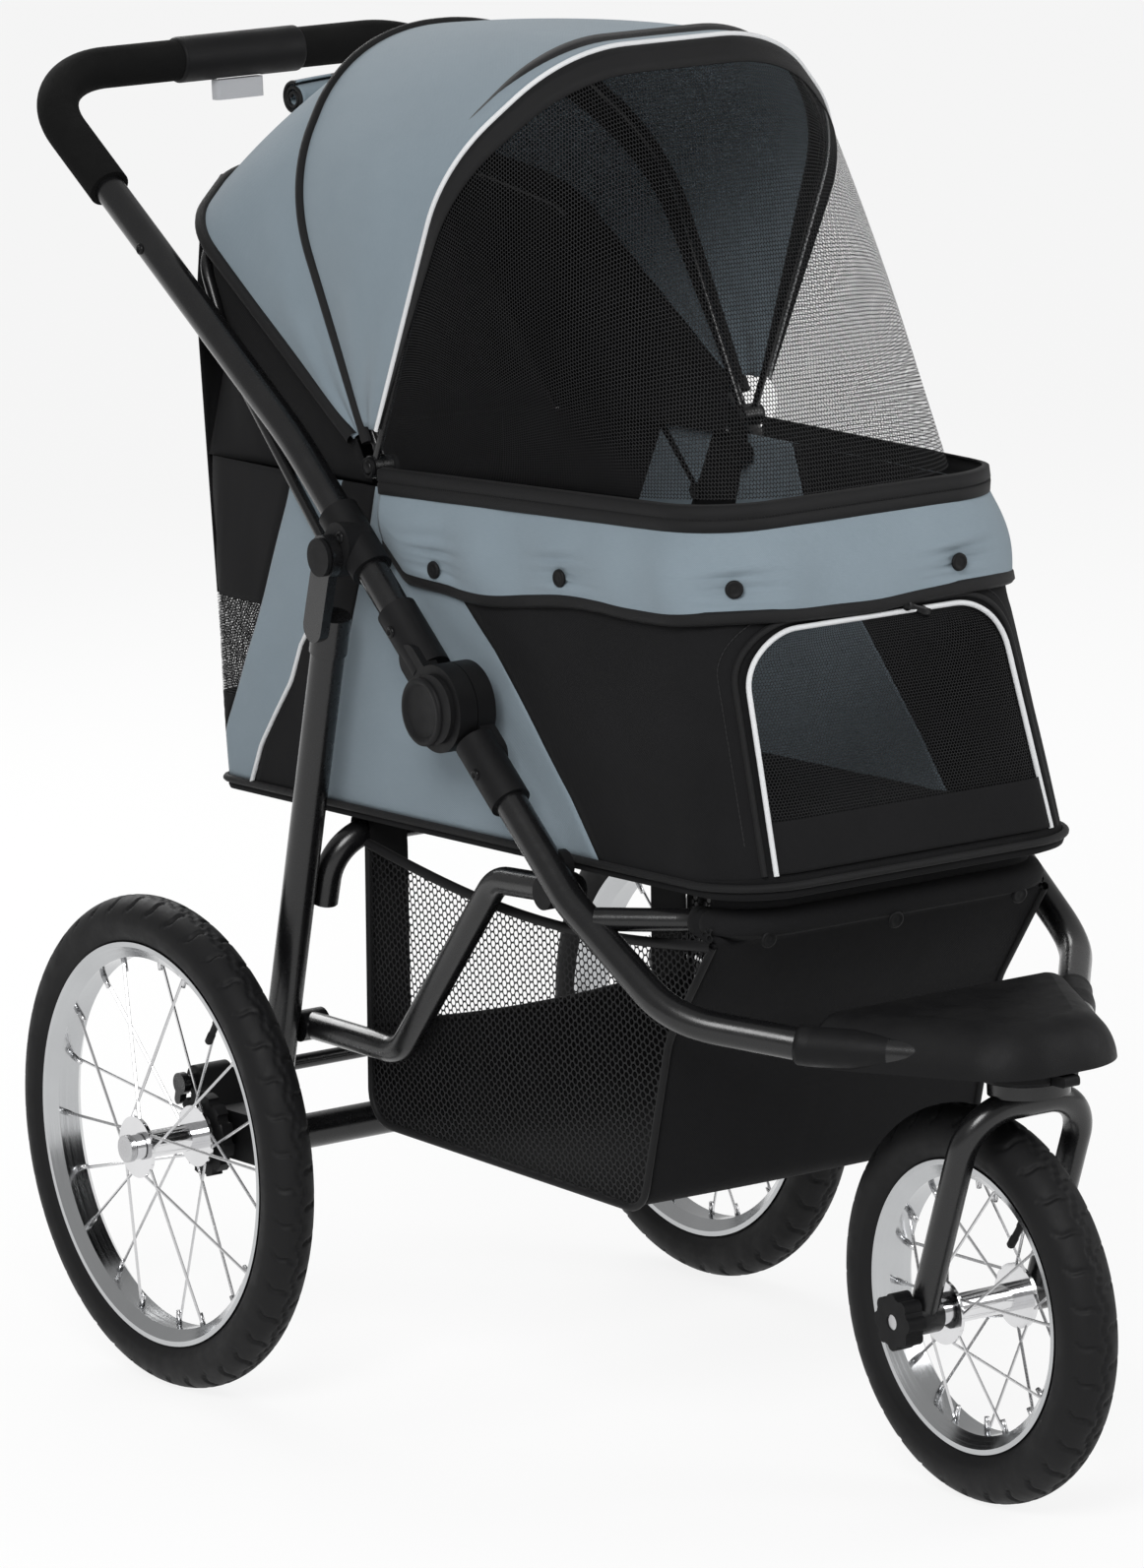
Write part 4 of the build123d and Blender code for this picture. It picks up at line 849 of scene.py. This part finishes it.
snap_span = np.interp(band_t[::-1], [t for t, _ in snaps], np.arange(len(snaps)))[::-1]
band_low = band_low - 0.0035 * np.sin(np.pi * (snap_span % 1.0)) ** 2
band_share = np.linspace(0, 1, 25)[:, None]
band_z = blended(band_low[None, :], band_top_z, band_share)
hang = np.sin(np.pi * band_share) * 0.005 + (1 - band_share) * 0.0035 + 0.003
ripple = 0.003 * np.sin(46 * band_t) * np.sin(17 * band_t + 1.0) + 0.0016 * np.sin(88 * band_t + 2.0)
drag = 0.0022 * np.sin(150 * np.abs(band_share - 0.3) ** 1.3 + 30 * band_t[None, :]) * snap_near[None, :]
pinch = -0.0035 * snap_near[None, :] * np.exp(-((band_share - 0.28) / 0.22) ** 2)
band_out = hang + ripple[None, :] * (1 - 0.75 * band_share) * (0.4 + np.sin(np.pi * band_share))
band_out = np.maximum(band_out + (drag + pinch) * np.sin(np.pi * np.clip(band_share + 0.1, 0, 1)), 0.0022)
band = grid_piece("rim_band", wall(band_t[None, :], band_z, band_out), grey_cloth, thickness=cloth_thickness)
bound_z = band_low[None, :] + np.array([-0.006, -0.004, 0.001, 0.003])[:, None]
bound_out = band_out[:1] + np.array([-0.0008, 0.0014, 0.0016, 0.0004])[:, None]
band_binding = grid_piece("rim_band_binding", wall(band_t[None, :], bound_z, bound_out), binding, thickness=0.001)
rim_profile = np.array([
    (0.001, 0.7375), (0.0055, 0.739), (0.006, 0.7455), (0.0045, 0.7475), (0.006, 0.7495), (0.0055, 0.756),
    (0.001, 0.7572),
])
rim_points = wall(band_t[None, :], rim_z, rim_profile[:, :1])
rim_points[:, :, 2] = rim_profile[:, 1:]
rim_tape = grid_piece("rim_tape", rim_points, binding, replaces=("cabin_rim",), thickness=0.0015)
coil_t = np.linspace(band_end, -band_end, 1600)
coil_turn = np.arange(1600) * np.pi / 2
coil = wall(coil_t, rim_z, 0.0062 + 0.0006 * np.cos(coil_turn))
coil[:, 2] = 0.7475 + 0.0009 * np.sin(coil_turn)
rim_zip = cord("rim_zip", coil, 0.0006, (0, 0, 1), binding, sides=5)
crumple(band, band_binding)
snap_profile = [
    (0.0, 0.0), (0.0062, 0.0), (0.007, 0.0008), (0.0067, 0.0022), (0.0052, 0.003), (0.0042, 0.0022),
    (0.0018, 0.0024), (0.0, 0.0026),
]
snap_grids = []
for snap_t, snap_z in snaps:
    seat = wall(snap_t, snap_z, 0.0)
    facing = wall(snap_t, snap_z, 0.01) - seat
    snap_low = np.interp(snap_t, band_t[::-1], band_low[::-1])
    snap_row = int(round((snap_z - snap_low) / (band_top_z - snap_low) * 24))
    out_here = band_out[max(snap_row - 3, 0):snap_row + 4, np.abs(band_t - snap_t) < 0.008].max()
    snap_grids.append(revolved(snap_profile, seat + facing / 0.01 * (out_here + 0.0002), facing, 24))
band_snaps = merged("band_snaps", snap_grids, moulding)
band_stitches = stitches(
    "band_stitches", wall(band_t, band_low + 0.0065, band_out[2] + 0.0002), (0, 0, 1), grey_thread
)
crumple(band_snaps, band_stitches)

# Rear wall: black cloth from the floor to the canopy's back edge, with a net window below. It is not stretched on
# a frame, so it bellies out to the rear.
net_foot_z, net_top_z = 0.55, 0.63
for side, hand in ((1, "left"), (-1, "right")):
    strip = side_line(rear_strip_line, 161)[::-1]
    for part, z_from, z_to, stuff, flat, area in (
        ("top", rim_z, net_top_z, black_cloth, (0.2, 0.115), 0.0178),
        ("net", net_top_z, net_foot_z, fine_net, (0.125, 0.085), 0.0083),
        ("foot", net_foot_z, wall_foot_z, black_cloth, (0.07, 0.073), 0.0039),
    ):
        heights = np.linspace(z_from, z_to, 24)
        ahead = np.stack([np.interp(heights, strip[:, 1], strip[:, 0]), heights], axis=1)
        behind = np.stack([np.full(24, 0.845), heights], axis=1)
        wall_panel(f"rear_corner_{part}_{hand}", behind, ahead, side, stuff, 14, gather=0.715)
belly_x = np.linspace(-1, 1, 61)[None, :]


def arc(value, start, span):
    """Half a sine wave that starts at one value and lasts a span, and is zero outside."""
    return np.sin(np.pi * np.clip((value - start) / span, 0, 1))


def rear_cloth(z_from, z_to, rows):
    """The rear wall between two heights: it leans back with height and bellies out most at mid width."""
    z = np.linspace(z_from, z_to, rows)[:, None]
    lean = np.interp(z, [0.479, 0.742, 0.94, 0.963], [0.0365, 0.0375, 0.055, 0.0705])
    width = np.interp(z, [0.479, 0.742, 0.86, 0.94, 0.963], [0.163, 0.1694, 0.166, 0.152, 0.12])
    belly = 0.03 * arc(z, 0.5, 0.47) ** 0.8 + 0.012 * arc(z, 0.479, 0.26)
    fold = 0.002 * np.sin(9 * belly_x + 14 * z) * arc(z, 0.479, 0.4)
    y = lean + (belly + fold) * (1 - belly_x ** 4)
    return xyz(belly_x * width, y + axle_y, z)[:, ::-1]


def tuck(piece):
    """Gives a loose piece of cloth at the back a mesh of its own."""
    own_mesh(piece)


for name, z_from, z_to, rows, stuff, flat, gathered in (
    ("rear_wall_foot", wall_foot_z, net_foot_z, 14, black_cloth, (0.33, 0.074), crumple),
    ("rear_wall_net", net_foot_z, net_top_z, 20, fine_net, (0.341, 0.082), crumple),
    ("rear_wall", net_top_z, rim_z, 24, black_cloth, (0.346, 0.114), crumple),
    ("rear_wall_top", rim_z, 0.96, 44, black_cloth, (0.335, 0.225), tuck),
):
    piece = grid_piece(
        name, rear_cloth(z_from, z_to, rows), stuff, replaces=("cabin_rear",) if name == "rear_wall_foot" else (),
        thickness=0.0 if stuff is fine_net else cloth_thickness,
    )
    gathered(piece)

# Canopy: two blue-grey panels on wire bows that turn on one pin at each side, and a net window in front. The bows
# run in black sleeves, and the front edge carries pale piping.
pivot_y, pivot_z = -0.225, 0.758


def mirrored(half, bend, count):
    """A rounded path through three points and their mirror images; gives its two coordinates."""
    return rounded_path(half + [(-x, far) for x, far in reversed(half)], [bend] * 4, count).T


def arch(angle, half, shoulder, top_half, reach, bend, grow=0.0, start=0.034, count=141):
    """A rounded arch in the plane through the canopy pins that leans at the angle above the back, grown outward."""
    slope = np.arctan2(reach - shoulder, half - top_half)
    corner = (half + grow, shoulder + grow * (1 - np.sin(slope)) / np.cos(slope))
    crest = (top_half + grow * (1 - np.cos(slope)) / np.sin(slope), reach + grow)
    x, far = mirrored([(half + grow, start), corner, crest], bend + grow, count)
    lean = np.radians(angle)
    return xyz(x, axle_y + pivot_y + far * np.cos(lean), pivot_z + far * np.sin(lean))


def normals(points):
    """Unit normals of a grid of points, from its two directions."""
    facing = np.cross(np.gradient(points, axis=1), np.gradient(points, axis=0))
    return facing / np.maximum(np.linalg.norm(facing, axis=2, keepdims=True), 1e-12)


def canopy_sheet(first, last, rows, swell_out, folds):
    """Cloth from one arch to the next: straight threads, swelled out between, with soft folds near the pins."""
    share = np.linspace(0, 1, rows)[:, None, None]
    points = blended(first[None], last[None], share)
    along = np.linspace(-1, 1, points.shape[1])[None, :, None]
    bulge = np.sin(np.pi * share)
    lift = swell_out * bulge * (1 - along ** 6)
    lift = lift + folds * bulge * np.sin(3 * np.pi * share + 14 * along) * np.abs(along) ** 3
    return points + normals(points) * lift


rear_edge = (0.178, 0.3, 0.11, 0.358, 0.07)
mid_edge = (0.172, 0.232, 0.08, 0.347, 0.16)
front_edge = (0.1805, 0.268, 0.095, 0.357, 0.12)
rear_away, mid_away, front_away = (0, -0.566, 0.824), (0, -0.899, 0.438), (0, -0.891, -0.454)
rear_sheet = canopy_sheet(arch(34.5, *rear_edge, 0.001), arch(63.8, *mid_edge, 0.0066), 30, 0.004, 0.002)
rear_panel = grid_piece(
    "canopy_back", rear_sheet[:, ::-1], grey_cloth, None, replaces=("canopy_rear_panel",), thickness=cloth_thickness
)
visor_sheet = canopy_sheet(arch(64.2, *mid_edge, 0.0066), arch(117.0, *front_edge, 0.0058), 44, 0.007, 0.002)
visor = grid_piece(
    "canopy_top", visor_sheet[:, ::-1], grey_cloth, None, replaces=("canopy_visor",), thickness=cloth_thickness
)
back_binding = cord("canopy_back_binding", arch(34.5, *rear_edge, 0.002), 0.0058, rear_away, binding, sides=16)
mid_sleeve = cord(
    "mid_bow_sleeve", arch(64.0, *mid_edge, 0.0084, start=0.02), 0.0042, mid_away, binding, "canopy_mid", 16
)
front_piping = cord(
    "canopy_front_piping", arch(117.2, *front_edge, 0.0064), 0.0021, front_away, piping, "canopy_front"
)
mid_band, front_band = [
    grid_piece(
        name, np.stack([arch(angle - width / 2 + width * i / 4, *bow_edge, 0.0) for i in range(5)]), binding, body,
        thickness=0.001,
    )
    for name, angle, bow_edge, width, body in (
        ("mid_bow_inner_sleeve", 61.0, mid_edge, 6.0, "canopy_mid"),
        ("front_bow_inner_sleeve", 114.6, front_edge, 4.2, "canopy_front"),
    )
]
roll_half, roll_y = 0.092, axle_y + 0.004
roll_turn = np.linspace(0, 4.6 * np.pi, 150)[:, None]
roll_radius = 0.004 + 0.0105 * roll_turn / roll_turn[-1]
roll_x = np.linspace(-roll_half, roll_half, 40)[None, :]
roll_sag = 0.004 * (roll_x / roll_half) ** 2
roll = xyz(
    roll_x, roll_y + roll_radius * np.cos(roll_turn), 1.026 - roll_sag + roll_radius * np.sin(roll_turn) * 0.9
)
rolled_flap = grid_piece("rolled_flap", roll, grey_cloth, None, thickness=cloth_thickness)
roll_ends = [tube(roll[:, end], 0.0016, (1, 0, 0), 8) for end in (0, -1)]
roll_ties = [part + (part - [0, roll_y, 1.024]) * [0, 0.09, 0.09] for part in (roll[-34:, 7:12], roll[-34:, 28:33])]
roll_trim = merged(
    "rolled_flap_trim", roll_ends + roll_ties, binding, None, [(False, True)] * 2 + [(False, False)] * 2
)
rear_rows, visor_rows = [
    [
        stitches(f"{name}_stitches_{row}", sheet[row] + normals(sheet)[row] * 0.0002, away, grey_thread, None)
        for row, away in ((2, first_away), (-3, last_away))
    ]
    for name, sheet, first_away, last_away in (
        ("canopy_back", rear_sheet, rear_away, mid_away), ("canopy_top", visor_sheet, mid_away, front_away),
    )
]
for piece in (rear_panel, rolled_flap, roll_trim, *rear_rows):
    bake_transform(piece)
for piece in (visor, *visor_rows):
    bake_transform(piece)
window_reach = 0.385
foot_x, foot_far = mirrored(
    [(0.1775, 0.03), (0.1365, window_reach * 0.8), (0.0898, window_reach)], 0.09, 141
)
foot = xyz(foot_x, axle_y + pivot_y - foot_far, pivot_z)
window_share = np.linspace(0, 1, 50)[:, None, None]
window_points = blended(arch(117.4, *front_edge, 0.0052)[None], foot[None], window_share)
window_points = window_points + normals(window_points) * 0.006 * np.sin(np.pi * window_share)
window_tape_rows = 4
window = grid_piece(
    "canopy_net", window_points[window_tape_rows - 1:, ::-1], fine_net, "canopy_front", replaces=("mesh_window",)
)
window_tape = grid_piece(
    "canopy_net_tape", window_points[:window_tape_rows, ::-1], binding, "canopy_front", thickness=0.001
)
for piece in (window, window_tape):
    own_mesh(piece)
for side, hand in ((1, "left"), (-1, "right")):
    gusset_low = xyz(side * 0.1688, np.linspace(-0.203, 0.036, 40) + axle_y, rim_z)
    line = arch(34.5, *rear_edge, 0.0)[::side][:58]
    upper = [np.interp(np.linspace(0, 1, 40), np.linspace(0, 1, 58), column) for column in line.T]
    gusset_points = blended(gusset_low[None], xyz(*upper)[None], np.linspace(0, 1, 24)[:, None, None])
    gusset_points[:, :, 0] -= side * 0.001
    gusset = grid_piece(f"rear_gusset_{hand}", gusset_points[:, ::-side], black_cloth, thickness=cloth_thickness)
    tuck(gusset)

# Basket: a black cloth tray hung between the front hoop and the rear strut, with a hexagonal net on each side and
# bound edges. Load and time have let the bottom sag.
hoop_z = 0.447
basket_half = 0.1545
basket_corners = [(-0.152, 0.448), (-0.138, 0.222), (-0.512, 0.212), (-0.556, 0.352), (-0.618, 0.432)]
basket_rounds = [0.026, 0.026, 0.06]
basket_path = rounded_path(basket_corners, basket_rounds, 121)
tray_path = rounded_path([(-0.143, 0.302)] + basket_corners[1:], basket_rounds, 121)
basket_x = np.linspace(-1, 1, 49)[None, :]
basket_round = 1 - basket_x ** 2
path_share = np.linspace(0, 1, 121)[:, None]
basket_sag = 0.007 * basket_round * arc(path_share, 0.14, 0.46)
basket_sag = basket_sag + 0.01 * basket_round * np.clip(1 - path_share / 0.08, 0, 1)
basket_belly = 0.012 * basket_round * arc(path_share, 0.58, 0.42)
tray_points = xyz(
    basket_x * basket_half, tray_path[:, :1] + axle_y - basket_belly, tray_path[:, 1:] - basket_sag
)
hoop_corners = [(0.198, -0.528), (0.146, -0.59), (0.146, -0.64)]
hoop_plan = np.stack(mirrored(hoop_corners, 0.045, 241), axis=1)
hoop_cover = hoop_plan[np.abs(hoop_plan[:, 0]) < 0.15]
cover_run = np.linspace(0, 1, len(hoop_cover))
cover_plan = [np.interp(np.linspace(0, 1, 49), cover_run, column) for column in hoop_cover.T]
cover_plan = np.stack(cover_plan, axis=1)[::-1]
cover_way = unit(np.gradient(cover_plan, axis=0))
cover_out = np.stack([cover_way[:, 1], -cover_way[:, 0]], axis=1)
wrap_turn = np.radians(np.linspace(-35, 215, 14))[:, None]
wrap_radius = 0.0118
wrap_xy = cover_plan[None] + cover_out[None] * (np.cos(wrap_turn) * wrap_radius)[:, :, None]
wrap_points = xyz(wrap_xy[:, :, 0], wrap_xy[:, :, 1] + axle_y, hoop_z + np.sin(wrap_turn) * wrap_radius)
apron_share = np.linspace(0, 1, 14)[1:-1, None, None]
apron = blended(tray_points[-1][None], wrap_points[0][None], apron_share)
apron[:, :, 1] -= 0.004 * np.sin(np.pi * apron_share[:, :, 0])
tray = grid_piece(
    "basket_tray", np.concatenate([tray_points, apron, wrap_points]), black_cloth, replaces=("basket_sheet",),
    thickness=cloth_thickness,
)
hem_share = np.linspace(0, 1, 6)[:, None]
hem_x, hem_y = cover_plan[4:].T
hem_points = xyz(hem_x, hem_y + axle_y - 0.004 * np.sin(np.pi * hem_share), 0.457 + hem_share * 0.013)
apron_hem = grid_piece("basket_apron_hem", hem_points, black_cloth, thickness=cloth_thickness)
tray_hem = cord("basket_rear_hem", tray_points[0], 0.0028, (0, 1, 0), binding, sides=10)
hanger_path = rounded_path(
    [(-0.1425, 0.298), (-0.1495, 0.44), (-0.1495, 0.471), (-0.122, 0.471), (-0.122, 0.452)], [0.05, 0.012, 0.012], 50
)
hangers = [
    xyz(side * np.linspace(0.117, 0.152, 6)[None, :], hanger_path[:, :1] + axle_y, hanger_path[:, 1:])
    for side in (1, -1)
]
basket_hangers = merged("basket_hangers", hangers, binding, wraps=[(False, False)] * 2)
basket_snap_seats = ((-0.122, -0.6415, 0.437), (-0.009, -0.6475, 0.436), (0.11, -0.6445, 0.437))
basket_snaps = merged(
    "basket_snaps",
    [revolved(snap_profile, np.array([x, y + axle_y, z]), [0, -0.97, -0.25], 24) for x, y, z in basket_snap_seats],
    moulding,
)
crumple(tray, tray_hem, basket_hangers, basket_snaps, height=hoop_z, keep=0.25)
hex_net = net_material("basket_net_knit", (0.004, 0.004, 0.0045), (0.011, 0.011, 0.012), 0.0062, 0.4, 0.65)
(rear_y, rear_z), (fore_y, fore_z) = basket_corners[0], basket_corners[-1]
net_run = np.sin(np.pi * np.linspace(0, 1, 121))
top_y = np.linspace(rear_y, fore_y, 121)
top_z = np.interp(top_y, [fore_y, rear_y], [fore_z, rear_z]) - 0.02 * net_run
net_share = np.linspace(0, 1, 40)[:, None]
net_yz = blended(np.stack([top_y, top_z], axis=1)[None], basket_path[None], net_share[:, :, None])
net_yz[:, :, 1] += (1 - net_share) * 0.014 * np.clip((-0.5 - net_yz[:, :, 0]) / 0.1, 0, 1)
net_bow = 0.006 * np.sin(np.pi * net_share) * net_run[None, :]
net_lay = net_yz @ np.array([[0.94, -0.34], [0.34, 0.94]])
for side, hand in ((1, "left"), (-1, "right")):
    net_points = xyz(side * (0.1552 + net_bow), net_yz[:, :, 0] + axle_y, net_yz[:, :, 1])
    side_net = grid_piece(
        f"basket_side_net_{hand}", net_points[:, ::side], hex_net, replaces=(f"basket_net_{hand}",),
        chart=net_lay[:, ::side],
    )
    edges = ((basket_path[:, 0], basket_path[:, 1], 0.003), (top_y, top_z, 0.004))
    side_binding = merged(
        f"basket_binding_{hand}",
        [tube(xyz(side * 0.1555, y + axle_y, z), radius, (1, 0, 0), 10) for y, z, radius in edges], binding,
    )
    crumple(side_net, side_binding, height=hoop_z, keep=0.25)

# Fender sockets: the moulded ends of the fender that the two lower tubes are pushed into and riveted. They start
# with a rounded lip on the tube and sink into the fender's side.
socket_run = rounded_path([(0.1295, -0.683, 0.3645), (0.122, -0.692, 0.363), (0.072, -0.766, 0.36)], [0.012], 60)
socket_share = np.linspace(0, 1, 60)
socket_radius = 0.0127 + 0.0024 * np.clip(socket_share / 0.03, 0, 1) ** 0.5
socket_radius = socket_radius - 0.0042 * np.clip((socket_share - 0.45) / 0.45, 0, 1)
for side, hand in ((1, "left"), (-1, "right")):
    socket_path = socket_run * [side, 1, 1] + [0, axle_y, 0]
    cord(f"fender_socket_{hand}", socket_path, socket_radius[:, None, None], (0, 0, 1), moulding, sides=40)
